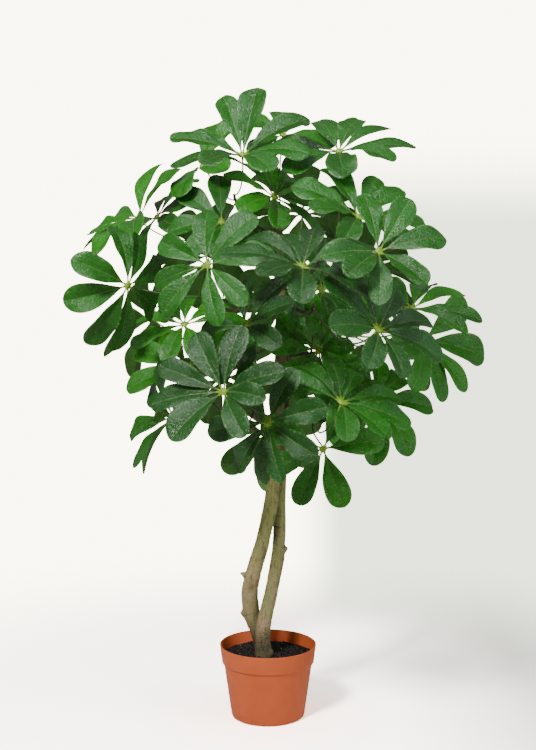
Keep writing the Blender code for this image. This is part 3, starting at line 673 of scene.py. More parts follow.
def blade_finish(colours, tone):
    """A leathery leaf blade: waxy satin with a pale midrib and faint side veins, paler and duller below."""
    material, add, where = new_finish("leathery_leaf_" + tone)
    share, along, under, tint, reach, width = (
        add("Attribute", attribute_name=name).outputs["Fac"]
        for name in ("share", "along", "under", "tint", "reach", "width"))
    # Cloudy patches about 25 mm across, blotches about 10 mm and a fine mottle about 1.5 mm
    clouds = add("TexNoise", {"Vector": where, "Scale": 40.0, "Detail": 2.0})
    blotches = add("TexNoise", {"Vector": where, "Scale": 95.0, "Detail": 2.0})
    mottle = add("TexNoise", {"Vector": where, "Scale": 650.0, "Detail": 3.0})
    # Net of fine veins: cells about 3 mm across, with a puckered surface between them
    net = add("TexVoronoi", {"Vector": where, "Scale": 330.0}, feature="DISTANCE_TO_EDGE")
    netted = add("MapRange", (net, 0.16, 0.0))
    pucker = add("TexNoise", {"Vector": where, "Scale": 190.0, "Detail": 3.0, "Roughness": 0.6})
    # Side veins: they leave the midrib at about 60 degrees, VEIN_SPACING apart, and waver a little
    lean = add("Math", (width, VEIN_LEAN), operation="MULTIPLY")
    phase = add("Math", (reach, lean), operation="SUBTRACT")
    wavered = add("Math", (clouds, 0.004, phase), operation="MULTIPLY_ADD")
    turns = add("Math", (wavered, 1 / VEIN_SPACING), operation="MULTIPLY")
    swing = add("Math", (turns, 0.5), operation="PINGPONG")
    line = add("MapRange", (swing, 0.10, 0.0), interpolation_type="SMOOTHSTEP")
    fading = add("MapRange", (share, 0.95, 0.30))
    veins = add("Math", (line, fading), operation="MULTIPLY")
    meshed = add("Math", (netted, 0.5, veins), operation="MULTIPLY_ADD")
    # The midrib is a line about 1 mm wide that tapers out before the tip
    slender = add("MapRange", (along, 0.1, 1.0, 0.0009, 0.0003))
    ribbed = add("Math", (width, slender), operation="DIVIDE")
    midrib = add("MapRange", (ribbed, 1.0, 0.4), interpolation_type="SMOOTHSTEP")
    # The tone's green is painted shade or light: darker for a leaf in shade, brighter for one lit through
    red, green, blue = getattr(colours, "leaf_" + tone)
    deep = (0.55 * red, 0.62 * green, 0.65 * blue)
    light = (1.40 * red, 1.25 * green, 1.10 * blue)
    mixed = add("Math", (blotches, 0.9, tint), operation="MULTIPLY_ADD")
    mixed = add("Math", (clouds, 0.9, mixed), operation="MULTIPLY_ADD")
    shade = coat(add, deep, light, mixed, 0.55, 1.75)
    mottled = add("MapRange", (mottle, 0.3, 0.7, 0.70, 1.34))
    shade = add("VectorMath", (shade, mottled), operation="SCALE")
    shade = coat(add, shade, colours.vein, meshed, 0.0, 2.0, 0.30)
    shade = coat(add, shade, colours.vein, midrib, most=0.45)
    # Painted glints: pale dots about 3 mm apart along the edge and on the midrib
    dots = add("TexVoronoi", {"Vector": where, "Scale": 330.0}).outputs["Distance"]
    painted_glint_dots = add("MapRange", (dots, 0.42, 0.22, 0.0, 0.60))
    rim = add("MapRange", (share, 0.80, 0.93))
    glint_lines = add("Math", (rim, midrib), operation="MAXIMUM")
    shade = coat(add, shade, "#B4D08E", add("Math", (painted_glint_dots, glint_lines), operation="MULTIPLY"))
    below = coat(add, colours.underside, colours.vein, midrib)
    shade = coat(add, shade, below, under, most=0.8)
    rooted = add("MapRange", (along, 0.10, 0.035), interpolation_type="SMOOTHSTEP")
    shade = coat(add, shade, colours.hub, rooted)
    waxy = add("MapRange", (clouds, 0.3, 0.7, 0.16, 0.40))
    rough = add("Math", (under, 0.22, waxy), operation="MULTIPLY_ADD")
    raised = mottle
    for height, source in ((2.4, pucker), (-0.9, meshed), (2.0, blotches)):
        raised = add("Math", (source, height, raised), operation="MULTIPLY_ADD")
    bump = add("Bump", {"Height": raised, "Strength": 0.8, "Distance": 0.0006})
    shader = add("BsdfPrincipled", {"Base Color": shade, "Roughness": rough, "Normal": bump, "IOR": 1.5})
    # Light through the blade comes out yellower
    glow = add("BsdfTranslucent", {"Color": "#8FC23A", "Normal": bump})
    add("OutputMaterial", (add("MixShader", (0.28, shader, glow)),))
    return material


# ---------------------------------------------------------------- pot and soil

def pot_wall(inset):
    """Radius and height down the wall of the pot: its outside, moved inwards by the inset."""
    below = POT_HEIGHT - COLLAR_HEIGHT
    step = COLLAR_FOOT_RADIUS - COLLAR_STEP - inset
    return [
        (RIM_RADIUS - inset, POT_HEIGHT),
        (COLLAR_FOOT_RADIUS - inset, below),
        (step, below - STEP_SLOPE),
        (FOOT_RADIUS - inset, FOOT_ROUND + inset),
        (FOOT_RADIUS - 0.3 * FOOT_ROUND - inset, 0.3 * FOOT_ROUND + inset),
        (FOOT_RADIUS - FOOT_ROUND - inset, inset),
    ]


def wall_radius(inset, height):
    """Radius of the wall, moved inwards by the inset, at a height."""
    wall = np.array(pot_wall(inset))[::-1]
    return np.interp(height, wall[:, 1], wall[:, 0])


def rounded(corners, radii, steps=5):
    """The corners of a profile, each cut back by its radius and bridged by a quadratic curve."""
    corners = np.asarray(corners, float)
    runs = unit(np.diff(corners, axis=0))
    t = np.linspace(0, 1, steps)[:, None]
    out = [corners[:1]]
    for index in range(1, len(corners) - 1):
        radius = radii[index]
        if radius == 0:
            out.append(corners[index:index + 1])
            continue
        start = corners[index] - radius * runs[index - 1]
        end = corners[index] + radius * runs[index]
        out.append((1 - t) ** 2 * start + 2 * t * (1 - t) * corners[index] + t * t * end)
    out.append(corners[-1:])
    return np.concatenate(out)


def turned_grid(profile, steps):
    """The profile (radius, height) carried round the z axis."""
    turn = np.arange(steps) * math.tau / steps
    radius, height = profile[:, 0:1], profile[:, 1:2]
    return np.stack([radius * np.cos(turn), radius * np.sin(turn), height + 0 * turn], axis=-1)


def pot_mesh():
    """The pot: its wall's profile turned round the axis, with slots where the floor's cells are left out.

    The profile runs from the middle of the inside floor up the inside, over the lip, down the outside
    and back to the middle of the foot. Its rows 2 to 4 lie along the slots, and so do the same rows
    counted from its end. A slot is two cells wide.
    """
    floor = [0.012, 0.025, SLOT_INSIDE, (SLOT_INSIDE + SLOT_OUTSIDE) / 2, SLOT_OUTSIDE]
    corners = [(radius, WALL) for radius in floor] + pot_wall(WALL)[:0:-1]
    corners += [(RIM_RADIUS - WALL, POT_HEIGHT)] + pot_wall(0.0) + [(radius, 0.0) for radius in floor[::-1]]
    # How far each corner is cut back: none on the floor, then up the inside, then down the outside
    flat = [0.0] * len(floor)
    inside = [0.0, 0.0, 0.003, 0.0012, 0.0012, LIP_ROUND]
    outside = [LIP_ROUND, 0.0004, 0.0007, 0.0, 0.0, 0.0]
    profile = rounded(corners, flat + inside + outside + flat)
    last = len(profile) - 1
    skin = tube_skin(turned_grid(profile, POT_STEPS), (0.0, 0.0, WALL), (0.0, 0.0, 0.0))
    middles = ((np.arange(SLOT_COUNT) + 0.5) * POT_STEPS / SLOT_COUNT).astype(int)
    kept = np.ones((last, POT_STEPS), bool)
    for row in (2, 3, last - 3, last - 4):
        kept[row, np.concatenate([middles - 1, middles])] = False
    # The walls of the slots join the inside floor to the outside one, cell by cell round each slot
    row = np.array([2, 2, 2, 3, 4, 4, 4, 3])
    column = middles[:, None] + (-1, 0, 1, 1, 1, 0, -1, -1)
    above = row * POT_STEPS + column
    below = (last - row) * POT_STEPS + column
    walls = np.stack([above, np.roll(above, -1, axis=1), np.roll(below, -1, axis=1), below], axis=-1)
    quads = skin.quads.reshape(last, POT_STEPS, 4)[kept]
    skin = skin._replace(quads=np.concatenate([quads, walls.reshape(-1, 4)]))
    mesh = mesh_of("moulded_pot", skin, math.radians(50))
    bm = bmesh.new()
    bm.from_mesh(mesh)
    bmesh.ops.recalc_face_normals(bm, faces=bm.faces)
    bm.to_mesh(mesh)
    bm.free()
    return mesh


def bark_gap(x, y, points):
    """How far places on the soil are from the bark of a trunk."""
    return np.hypot(x - points[0][0], y - points[0][1]) - points[0][3]


def soil_height(x, y):
    """Height of the soil: a low mound, lumps of three sizes, and a rise round each trunk."""
    edge = wall_radius(WALL + SOIL_GAP, SOIL_EDGE_HEIGHT)
    mound = SOIL_EDGE_HEIGHT + (SOIL_MIDDLE_HEIGHT - SOIL_EDGE_HEIGHT) * (1 - (np.hypot(x, y) / edge) ** 2)
    level = np.stack([x, y, 0 * x], axis=-1)
    for seed, (cell, height) in enumerate(SOIL_LUMPS, start=3):
        mound = mound + height * noise(level, cell, seed)
    for points in TRUNKS.values():
        mound = mound + SOIL_RISE * np.exp(-np.maximum(bark_gap(x, y, points), 0.0) / SOIL_RISE_REACH)
    return mound


def soil_mesh():
    """The soil: its top is the height over a disc, and its side follows the inside of the pot down."""
    inset = WALL + SOIL_GAP
    radius = np.linspace(0.0012, wall_radius(inset, SOIL_EDGE_HEIGHT), 60)[:, None]
    turn = np.arange(POT_STEPS) * math.tau / POT_STEPS
    x, y = radius * np.cos(turn), radius * np.sin(turn)
    top = np.stack([x, y, soil_height(x, y)], axis=-1)
    side = [point for point in pot_wall(inset)[1:] if point[1] < SOIL_EDGE_HEIGHT - 0.004]
    grid = np.concatenate([top, turned_grid(np.array(side), POT_STEPS)])
    skin = tube_skin(grid, (0.0, 0.0, soil_height(np.zeros(1), np.zeros(1))[0]), (0.0, 0.0, inset))
    return mesh_of("packed_soil", skin)


def icosahedron():
    """Corners and outward faces of a twenty-sided ball of radius 1."""
    golden = (1 + math.sqrt(5)) / 2
    corners = np.array([(a, b * golden, 0) for a in (-1, 1) for b in (-1, 1)], float)
    corners = unit(np.concatenate([np.roll(corners, turn, axis=1) for turn in range(3)]))
    # Neighbouring corners are 1.051 apart, and the next nearest are 1.7
    near = np.linalg.norm(corners[:, None] - corners[None], axis=-1) < 1.06
    trios = itertools.combinations(range(12), 3)
    faces = np.array([trio for trio in trios if near[np.ix_(trio, trio)].all()])
    first, second, third = corners[faces].swapaxes(0, 1)
    inward = (np.cross(second - first, third - first) * first).sum(axis=-1) < 0
    faces[inward] = faces[inward][:, ::-1]
    return corners, faces


def turned_by(spin):
    """The rotation matrices of unit quaternions."""
    w, i, j, k = spin.T
    return np.stack([
        np.stack([1 - 2 * (j * j + k * k), 2 * (i * j - k * w), 2 * (i * k + j * w)], axis=-1),
        np.stack([2 * (i * j + k * w), 1 - 2 * (i * i + k * k), 2 * (j * k - i * w)], axis=-1),
        np.stack([2 * (i * k - j * w), 2 * (j * k + i * w), 1 - 2 * (i * i + j * j)], axis=-1)], axis=-2)


def crumb_mesh(count, size):
    """Loose crumbs: twenty-sided lumps, stretched, turned and strewn over the soil by seeded chance."""
    rng = np.random.default_rng(7)
    corners, faces = icosahedron()
    # Three times as many places as crumbs: the first that are clear of the bark are taken
    edge = wall_radius(WALL + SOIL_GAP, SOIL_EDGE_HEIGHT) - CRUMB_EDGE_GAP
    spread = edge * np.sqrt(rng.random(3 * count))
    turn = math.tau * rng.random(3 * count)
    x, y = spread * np.cos(turn), spread * np.sin(turn)
    clear = np.all([bark_gap(x, y, points) > CRUMB_BARK_GAP for points in TRUNKS.values()], axis=0)
    x, y = x[clear][:count], y[clear][:count]
    radius = size * np.exp(rng.normal(0.0, 0.42, len(x)))
    stretch = radius[:, None, None] * rng.uniform(0.6, 1.25, (len(x), 1, 3))
    lumpy = corners * stretch * rng.uniform(0.78, 1.15, (len(x), 12, 1))
    turned = turned_by(unit(rng.normal(size=(len(x), 4))))
    place = np.stack([x, y, soil_height(x, y) + 0.35 * radius], axis=-1)
    points = np.einsum("nij,npj->npi", turned, lumpy) + place[:, None]
    kind = np.repeat(rng.random(len(x)), 12)
    triangles = (faces + 12 * np.arange(len(x))[:, None, None]).reshape(-1, 3)
    skin = Skin(points.reshape(-1, 3), np.zeros((0, 4), int), triangles, {"kind": kind})
    return mesh_of("soil_crumbs", skin, math.radians(25))


# ---------------------------------------------------------------- trunks and twigs

def trunk_line(name, height):
    """Centre and radius of a trunk at each height: straight runs between points, smoothed by a bell curve."""
    points = np.array(TRUNKS[name])
    points = np.concatenate([[[*points[0, :2], TRUNK_FOOT, points[0, 3]]], points])
    fine = np.linspace(TRUNK_FOOT, points[-1, 2], 800)
    step = fine[1] - fine[0]
    reach = int(3 * TRUNK_SMOOTHING / step)
    weight = np.exp(-0.5 * (np.arange(-reach, reach + 1) * step / TRUNK_SMOOTHING) ** 2)
    weight /= weight.sum()
    columns = []
    for column in (0, 1, 3):
        values = np.interp(fine, points[:, 2], points[:, column])
        before = 2 * values[0] - values[reach:0:-1]
        after = 2 * values[-1] - values[-2:-reach - 2:-1]
        smooth = np.convolve(np.concatenate([before, values, after]), weight, "valid")
        columns.append(np.interp(height, fine, smooth))
    return np.stack([columns[0], columns[1], height], axis=-1), columns[2]


def trunk_mesh(name, lump, seed):
    """A trunk: a ring round each point of its line, whose radius varies with height and angle.

    Added to the radius are lumps, upright ridges, ring scars, and a flat-topped knob for each stub.
    """
    rng = np.random.default_rng(seed)
    top = TRUNKS[name][-1][2]
    height = np.concatenate([np.linspace(TRUNK_FOOT, 0.10, 12), np.linspace(0.101, 0.37, 230),
                             np.linspace(0.373, top, 110)])
    centre, radius = trunk_line(name, height)
    turn = np.arange(TRUNK_SIDES) * math.tau / TRUNK_SIDES
    around = np.stack([np.cos(turn), np.sin(turn), 0 * turn], axis=-1)
    smooth = centre[:, None] + radius[:, None, None] * around
    relief = np.zeros((len(height), TRUNK_SIDES))
    for step, (share, cell, squeeze) in enumerate(BARK_LUMPS):
        relief = relief + share * noise(smooth * (1.0, 1.0, squeeze), cell, seed + step) * lump
    # Rougher near the soil, and smoother where the trunk is thin
    foot = smooth_step(0.20, 0.105, height)[:, None]
    relief = relief * (1 + 0.8 * foot) * np.minimum(1.0, radius[:, None] / 0.011)
    # A ring scar is a tilted groove with a low lip above it, stronger on one side
    scars = np.arange(RING_SCAR_START, top, RING_SCAR_SPACING)
    for scar in scars + rng.uniform(-RING_SCAR_STRAY, RING_SCAR_STRAY, len(scars)):
        tilt = 0.003 * np.cos(turn - rng.uniform(0, math.tau))
        gap = (height[:, None] - scar - tilt) / 0.0011
        strong = lump * (0.35 + 0.65 * smooth_step(-0.3, 0.5, np.cos(turn - rng.uniform(0, math.tau))))
        relief = relief + strong * (0.25 * np.exp(-(gap - 2.2) ** 2) - 0.42 * np.exp(-gap ** 2))
    # The layer named relief marks the bark's hollows, and lower still a ring round each knob's foot, where
    # the bark's finish paints shade
    low = relief / max(lump, 1e-6)
    lift = 0 * relief
    for stub in STUBS[name]:
        away = np.angle(np.exp(1j * (turn - math.radians(stub.turn))))
        above = (height - stub.height)[:, None]
        gap = np.sqrt((radius[:, None] * away) ** 2 + above ** 2) / (1.15 * stub.radius)
        knob = stub.length * 1.1 * np.exp(-gap ** 3.2)
        relief = relief + knob
        lift = lift + knob * math.sin(math.radians(stub.rise))
        # A ring of painted shade round the foot of the knob
        low = low - 0.9 * np.exp(-((gap - 1.35) / 0.22) ** 2)
    grid = centre[:, None] + (radius[:, None] + relief)[..., None] * around
    grid[..., 2] += lift
    skin = tube_skin(grid, centre[0], centre[-1] + (0, 0, 0.002), relief=low)
    return mesh_of("bark_" + name, skin)


def twig_corners(twig):
    """The Bezier corners of a twig, from just clear of its trunk's bark up into its tip."""
    points = np.array(TRUNKS[twig.trunk])
    centre = np.array([np.interp(twig.height, points[:, 2], points[:, axis]) for axis in (0, 1, 2)])
    radius = np.interp(twig.height, points[:, 2], points[:, 3])
    lower = int(np.searchsorted(points[:, 2], twig.height, side="right")) - 1
    along = unit(points[lower + 1, :3] - points[lower, :3])
    tip = np.array(twig.tip)
    outward = tip - centre
    outward = unit(outward - along * (outward @ along))
    start = centre + outward * (radius + 0.0006)
    reach = np.linalg.norm(tip - start)
    return start, start + 0.3 * reach * outward, tip - (0.0, 0.0, 0.25 * reach), tip


def twig_radius(along):
    """The plain radius of a twig, from its root at 0 to its tip at 1."""
    return TWIG_RADII[0] + (TWIG_RADII[1] - TWIG_RADII[0]) * along


def lengths_along(path):
    """How far each point of a path is from its start, along it."""
    return np.concatenate([[0.0], np.cumsum(np.linalg.norm(np.diff(path, axis=0), axis=1))])


def twig_mesh(name, seed):
    """A twig: a tapered tube along its Bezier curve, swollen at each leaf scar, with a domed tip."""
    corners = twig_corners(TWIGS[name])
    start, first, tip = corners[0], corners[1], corners[3]
    t = np.linspace(0, 1, 90)
    path = bezier(corners, t)
    path = path + 0.0007 * np.sin(9 * t + seed)[:, None] * unit(np.cross(tip - start, (0.0, 0.3, 1.0)))
    path = np.concatenate([[start - TWIG_ROOT_DEPTH * unit(first - start)], path])
    t = np.concatenate([[0.0], t])
    length = lengths_along(path)
    node = (length + 0.003 * seed) % TWIG_NODE_SPACING - TWIG_NODE_SPACING / 2
    swollen = 1 + 0.20 * np.exp(-(node / 0.0016) ** 2)
    radius = twig_radius(t) * swollen * np.sqrt(np.clip(1.0 - t ** 60, 0.02, 1))
    radius = radius + 0.0018 * np.exp(-length / 0.006)
    grid = rings_round(path, radius, 14)
    grid = grid + 0.00018 * noise(grid, 0.0025, seed)[..., None] * unit(grid - path[:, None])
    return mesh_of("twig_" + name[-2:], tube_skin(grid, path[0], path[-1]))


# ---------------------------------------------------------------- leaves

def leaf_axes(leaf):
    """The leaf's own axes as rows: its right, its up and the way it faces."""
    turn, tilt = math.radians(leaf.turn), math.radians(leaf.tilt)
    right = (math.cos(turn), math.sin(turn), 0.0)
    up = (-math.sin(turn) * math.cos(tilt), math.cos(turn) * math.cos(tilt), math.sin(tilt))
    return np.array([right, up, np.cross(right, up)])


def blade_skins(leaf, number, sizes):
    """The leaflets of a leaf, each a closed surface of two parameters: s along it and a across it.

    The midrib leaves the hub rising and bends down evenly along its length, with a little sway to one
    side. The half width grows as t to the 1.25 and closes as 1 - t to the 0.55, where t is s past
    the bare stalk. Across, the height is a V softened at the midrib, less a curl at the edges, plus waves
    that grow towards the edge, plus a quilting between the side veins, with a groove along the midrib
    above and a ridge below. The section turns about the midrib by a twist that grows along it. The
    thickness is an ellipse's, from a round stalk to a thin blade.
    """
    # Seeded chance: how each leaflet differs from the next
    rng = np.random.default_rng(100 + number)
    count = len(leaf.angles)
    index = np.arange(count)
    column = (slice(None), None, None)
    angle = np.radians(np.array(leaf.angles, float)) + rng.normal(0, 0.02, count)
    length = leaf.length * (1 + 0.06 * np.sin(1.3 * index + 0.9 * number))
    bend = BEND * (1 + rng.normal(0, 0.12, count))
    root = np.radians(leaf.rise + np.array(leaf.lifts, float)) + bend / 2 + rng.normal(0, 0.02, count)
    sway = rng.normal(0, 0.020, count)
    fold = np.tan(sizes.blade_fold * rng.uniform(0.55, 1.45, count))[column]
    curl = rng.uniform(0.02, 0.16, count)[column]
    wave = (sizes.blade_wave * rng.uniform(0.5, 1.4, (2, count)))[..., None, None]
    beat = rng.uniform(1.4, 2.6, (2, count))[..., None, None]
    phase = rng.uniform(0, math.tau, (2, count))[..., None, None]
    twist = rng.normal(0, 0.13, count)
    # Leaflets that grow close to a neighbour are narrower
    apart = np.abs((np.subtract.outer(leaf.angles, leaf.angles) + 180) % 360 - 180)
    nearest = np.where(np.eye(count, dtype=bool), 360, apart).min(axis=0)
    crowded = np.clip(0.45 + 0.55 * nearest / 42, 0.72, 1.06)
    wide = sizes.blade_width * rng.uniform(0.94, 1.06, count) * crowded
    tint = rng.random(count)

    # The grid: rings that are closer together near the tip, each over the top and back underneath
    s = 1 - (1 - np.linspace(0, 1, LEAFLET_RINGS + 1)[:-1]) ** 1.35
    over = np.array(ACROSS + (0.0,) + tuple(-value for value in ACROSS[::-1]))
    a = np.concatenate([over, over[-2:0:-1]])
    top = np.where(np.arange(len(a)) < len(over), 1.0, -1.0)
    row = s[:, None]

    # The section: its half width, and x and z across and up from the midrib
    t = np.clip((s - PETIOLULE_SHARE) / (1 - PETIOLULE_SHARE), 0, 1)
    blade = 0.5 * wide[:, None] * length[:, None] * (t ** 1.25 * (1 - t) ** 0.55 / 0.3354)
    stalk = 0.0011 + 0.0008 * np.exp(-(s / 0.035) ** 2)
    fade = 1 - smooth_step(0.05, 0.20, s)
    half = np.sqrt(blade ** 2 + (stalk * fade) ** 2)[..., None]
    x = half * a
    size = np.abs(x)
    thin = 0.5 * sizes.blade_thickness * np.sqrt(np.clip((1 - s) / 0.05, 0.05, 1))
    deep = (stalk * fade + thin * (1 - fade))[:, None]
    flesh = top * deep * np.sqrt(np.clip(1 - a * a, 0, 1))
    groove = -0.00030 * np.exp(-(size / 0.0009) ** 2) * (top > 0)
    ridge = -0.00075 * np.sqrt(1 - row) * np.exp(-(size / 0.0011) ** 2) * (top < 0)
    opened = 1 - 0.55 * smooth_step(0.55, 1.0, row)
    cup = opened * fold * (np.sqrt(size ** 2 + 0.0015 ** 2) - 0.0015) - curl * half * np.abs(a) ** 3
    waves = wave * np.sin(math.tau * beat * row + phase)
    swell = np.where(a < 0, waves[1], waves[0]) * np.abs(a) ** 1.7 * smooth_step(0.15, 0.4, row)
    veined = row * length[column] - VEIN_LEAN * size
    quilt = -0.00018 * np.cos(math.tau * veined / VEIN_SPACING) * np.abs(a) * (1 - np.abs(a)) * 4
    z = flesh + (1 - fade)[:, None] * (groove + ridge + cup + swell + quilt)
    turn = (twist[:, None] * s)[..., None]
    x, z = x * np.cos(turn) - z * np.sin(turn), x * np.sin(turn) + z * np.cos(turn)

    # The midrib: the arc that each section stands on, in the leaf's own axes
    here = root[:, None] - bend[:, None] * s
    reach = (np.sin(root)[:, None] - np.sin(here)) / bend[:, None] * length[:, None]
    rise = (np.cos(here) - np.cos(root)[:, None]) / bend[:, None] * length[:, None]
    outward = np.stack([np.cos(angle), np.sin(angle), 0 * angle], axis=-1)[:, None]
    sideways = np.stack([-np.sin(angle), np.cos(angle), 0 * angle], axis=-1)[:, None]
    upward = np.array([0.0, 0.0, 1.0])
    swayed = (sway[:, None] * length[:, None] * s ** 2)[..., None]
    arc = (0.7 * HUB_KNOB_RADIUS + reach)[..., None] * outward + rise[..., None] * upward
    centre = arc + swayed * sideways
    normal = np.cos(here)[..., None] * upward - np.sin(here)[..., None] * outward
    local = centre[:, :, None] + x[..., None] * sideways[:, :, None] + z[..., None] * normal[:, :, None]
    axes = leaf_axes(leaf)
    world = local @ axes + leaf.hub
    roots = world[:, 0].mean(axis=1)
    ahead = np.cos(here[:, -1:]) * outward[:, 0] + np.sin(here[:, -1:]) * upward
    tips = world[:, -1].mean(axis=1) + 0.008 * length[:, None] * (ahead @ axes)
    return [
        tube_skin(world[leaflet], roots[leaflet], tips[leaflet], share=np.abs(a), along=row,
                  under=(top < 0).astype(float), tint=tint[leaflet], reach=row * length[leaflet],
                  width=size[leaflet])
        for leaflet in range(count)]


def stem_point(leaf):
    """Where a leaf's stalk leaves its stem: the stem's centre there, its direction and its radius."""
    if leaf.stem in TRUNKS:
        points = np.array(TRUNKS[leaf.stem])
        height = points[0, 2] + (points[-1, 2] - points[0, 2]) * leaf.along
        centre, radius = trunk_line(leaf.stem, np.array([height, height + 0.002]))
        return centre[0], unit(centre[1] - centre[0]), radius[0]
    centre, ahead = bezier(twig_corners(TWIGS[leaf.stem]), np.array([leaf.along, leaf.along + 0.005]))
    return centre, unit(ahead - centre), twig_radius(leaf.along)


def stalk_skins(leaf):
    """A leaf's stalk and hub.

    The stalk is a tube on a Bezier curve from its stem into the hub's back, swollen at both ends. The hub
    is a ball pressed flat, whose radius swells towards each leaflet. Their layer "along" runs from 0 to 1
    up the stalk, and on the hub from 0 at its back to 2 at its face.
    """
    hub = np.array(leaf.hub)
    axes = leaf_axes(leaf)
    centre, along, radius = stem_point(leaf)
    outward = hub - centre
    outward = unit(outward - along * (outward @ along))
    start = centre + 0.5 * radius * outward
    reach = np.linalg.norm(hub - start)
    t = np.linspace(0, 1, 34)
    path = bezier((start, start + 0.25 * reach * outward, hub - 0.40 * reach * axes[2], hub), t)
    length = lengths_along(path)
    left = length[-1] - length
    radii = STALK_RADIUS + 0.0011 * np.exp(-(length / 0.005) ** 2) + 0.0014 * np.exp(-(left / 0.006) ** 2)
    stalk = tube_skin(rings_round(path, radii, 12), path[0], path[-1], along=t[:, None])
    polar = np.linspace(0, math.pi, 16)[1:-1, None]
    turn = np.arange(48) * math.tau / 48
    lobes = np.radians(np.array(leaf.angles, float))
    near = np.exp(8 * (np.cos(turn[:, None] - lobes) - 1)).sum(axis=1)
    bulge = HUB_KNOB_RADIUS * (0.86 + 0.30 * near * np.sin(polar) ** 3)
    local = np.stack([bulge * np.sin(polar) * np.cos(turn), bulge * np.sin(polar) * np.sin(turn),
                      0.78 * HUB_KNOB_RADIUS * np.cos(polar) + 0 * turn], axis=-1)
    face, back = hub + 0.70 * HUB_KNOB_RADIUS * axes[2], hub - 0.78 * HUB_KNOB_RADIUS * axes[2]
    knob = tube_skin(local @ axes + hub, face, back, along=1 + np.cos(polar))
    return [stalk, knob]


def leaf_mesh(leaf, number, sizes):
    """One leaf: leaflets, which take the first material, then a stalk and hub, which take the second."""
    blades = blade_skins(leaf, number, sizes)
    whole = joined(blades + stalk_skins(leaf))
    mesh = mesh_of(f"foliage_{number:02d}", whole)
    second = np.ones(len(whole.quads) + len(whole.triangles), np.int32)
    second[:sum(len(skin.quads) for skin in blades)] = 0
    second[len(whole.quads):][:sum(len(skin.triangles) for skin in blades)] = 0
    mesh.polygons.foreach_set("material_index", second)
    return mesh


# ---------------------------------------------------------------- stage

def add_softbox(name, place, target, size, power, colour):
    """A square softbox, turned towards its target, that lights the plant and isn't seen itself."""
    light = bpy.data.lights.new(name, "AREA")
    light.size = size
    light.energy = power
    light.color = colour
    lamp = bpy.data.objects.new(name, light)
    bpy.context.scene.collection.objects.link(lamp)
    lamp.location = place
    lamp.rotation_euler = (Vector(target) - Vector(place)).to_track_quat("-Z", "Y").to_euler()
    lamp.visible_camera = False
    return lamp


def floor_mesh():
    """The paper floor: level rings round the z axis, closed by one pole in the middle."""
    grid = turned_grid(np.array([(radius, -FLOOR_DROP) for radius in FLOOR_RADII]), 96)
    middle = (0.0, 0.0, -FLOOR_DROP)
    skin = tube_skin(grid, middle, middle)
    skin = skin._replace(triangles=skin.triangles[:grid.shape[1]])
    mesh = mesh_of("paper_floor", skin)
    mesh.flip_normals()
    return mesh


def floor_finish(gain):
    """Matt white paper floor, exposed brighter than the plant, that fades out into the backdrop far away."""
    material, add, where = new_finish("paper_floor")
    far = add("VectorMath", (where,), operation="LENGTH").outputs["Value"]
    grain = add("TexNoise", {"Vector": where, "Scale": 3.0, "Detail": 2.0})
    paper = coat(add, "#E9E6E1", "#EEEAE3", grain)
    # Light thrown back by the pot warms the paper close to it; it lies in deeper shade far to the right
    paper = coat(add, paper, "#EFD9CE", far, 0.22, 0.07, 0.80)
    seen = add("LightPath").outputs["Is Camera Ray"]
    light = add("MapRange", (seen, 0.0, 1.0, 1.0, gain))
    right = add("SeparateXYZ", (where,)).outputs["X"]
    dimming = add("MapRange", (right, 0.20, 0.46, 1.0, 0.42))
    light = add("Math", (light, dimming), operation="MULTIPLY")
    bright = add("VectorMath", (paper, light), operation="SCALE")
    fade = add("MapRange", (far, 0.40, 1.15), interpolation_type="SMOOTHSTEP")
    surface = add("MixShader", (fade, add("BsdfDiffuse", (bright,)), add("BsdfTransparent")))
    add("OutputMaterial", (surface,))
    return material


def backdrop_world(ambient):
    """The backdrop: bright warm white, darker low on the right, and dimmer where it lights the plant."""
    world = bpy.data.worlds.new("studio_backdrop")
    world.use_nodes = True
    world.node_tree.nodes.clear()
    add = partial(add_node, world.node_tree)
    view = add("SeparateXYZ", (add("TexCoord").outputs["Generated"],)).outputs
    right = add("MapRange", (view["X"], 0.012, 0.052), interpolation_type="SMOOTHSTEP")
    low = add("MapRange", (view["Z"], 0.042, -0.022), interpolation_type="SMOOTHSTEP")
    forward = add("MapRange", (view["Y"], 0.7, 0.9))
    shadow = add("Math", (right, low), operation="MULTIPLY")
    shadow = add("Math", (shadow, forward), operation="MULTIPLY")
    backdrop = add("Background", (coat(add, (9.2, 8.9, 7.0), (2.85, 3.0, 2.4), shadow),))
    room = add("Background", ((1.0, 0.985, 0.96), ambient))
    seen = add("LightPath").outputs["Is Camera Ray"]
    add("OutputWorld", (add("MixShader", (seen, room, backdrop)),))
    bpy.context.scene.world = world


# ---------------------------------------------------------------- operators

class PLANT_OT_stage(bpy.types.Operator):
    """Adds the camera, the softboxes, the paper floor and the backdrop"""

    bl_idname = "plant.stage"
    bl_label = "Stage"

    def execute(self, context):
        settings = context.scene.plant_stage
        lens = bpy.data.cameras.new("camera")
        lens.lens = 70.0
        lens.sensor_width = 36.0
        camera = bpy.data.objects.new("camera", lens)
        context.scene.collection.objects.link(camera)
        camera.location = CAMERA_PLACE
        camera.rotation_euler = (math.radians(90 - CAMERA_DIP), 0.0, 0.0)
        context.scene.camera = camera
        add_softbox("key_softbox", (-1.11, -2.01, 2.38), (0.0, 0.0, 0.45), 0.50,
                    settings.key_power, (1.0, 0.975, 0.94))
        add_softbox("fill_softbox", (2.4, -1.3, 1.5), (0.0, 0.0, 0.5), 1.6,
                    settings.fill_power, (0.95, 0.98, 1.0))
        sheen = add_softbox("overhead_softbox", (-0.3, -1.1, 2.9), (0.0, 0.0, 0.6), 0.8,
                            settings.overhead_power, (0.97, 1.0, 0.97))
        sheen.visible_diffuse = False
        mesh = floor_mesh()
        mesh.materials.append(floor_finish(settings.floor_gain))
        floor = bpy.data.objects.new("paper_floor", mesh)
        context.scene.collection.objects.link(floor)
        backdrop_world(settings.ambient)
        return {"FINISHED"}


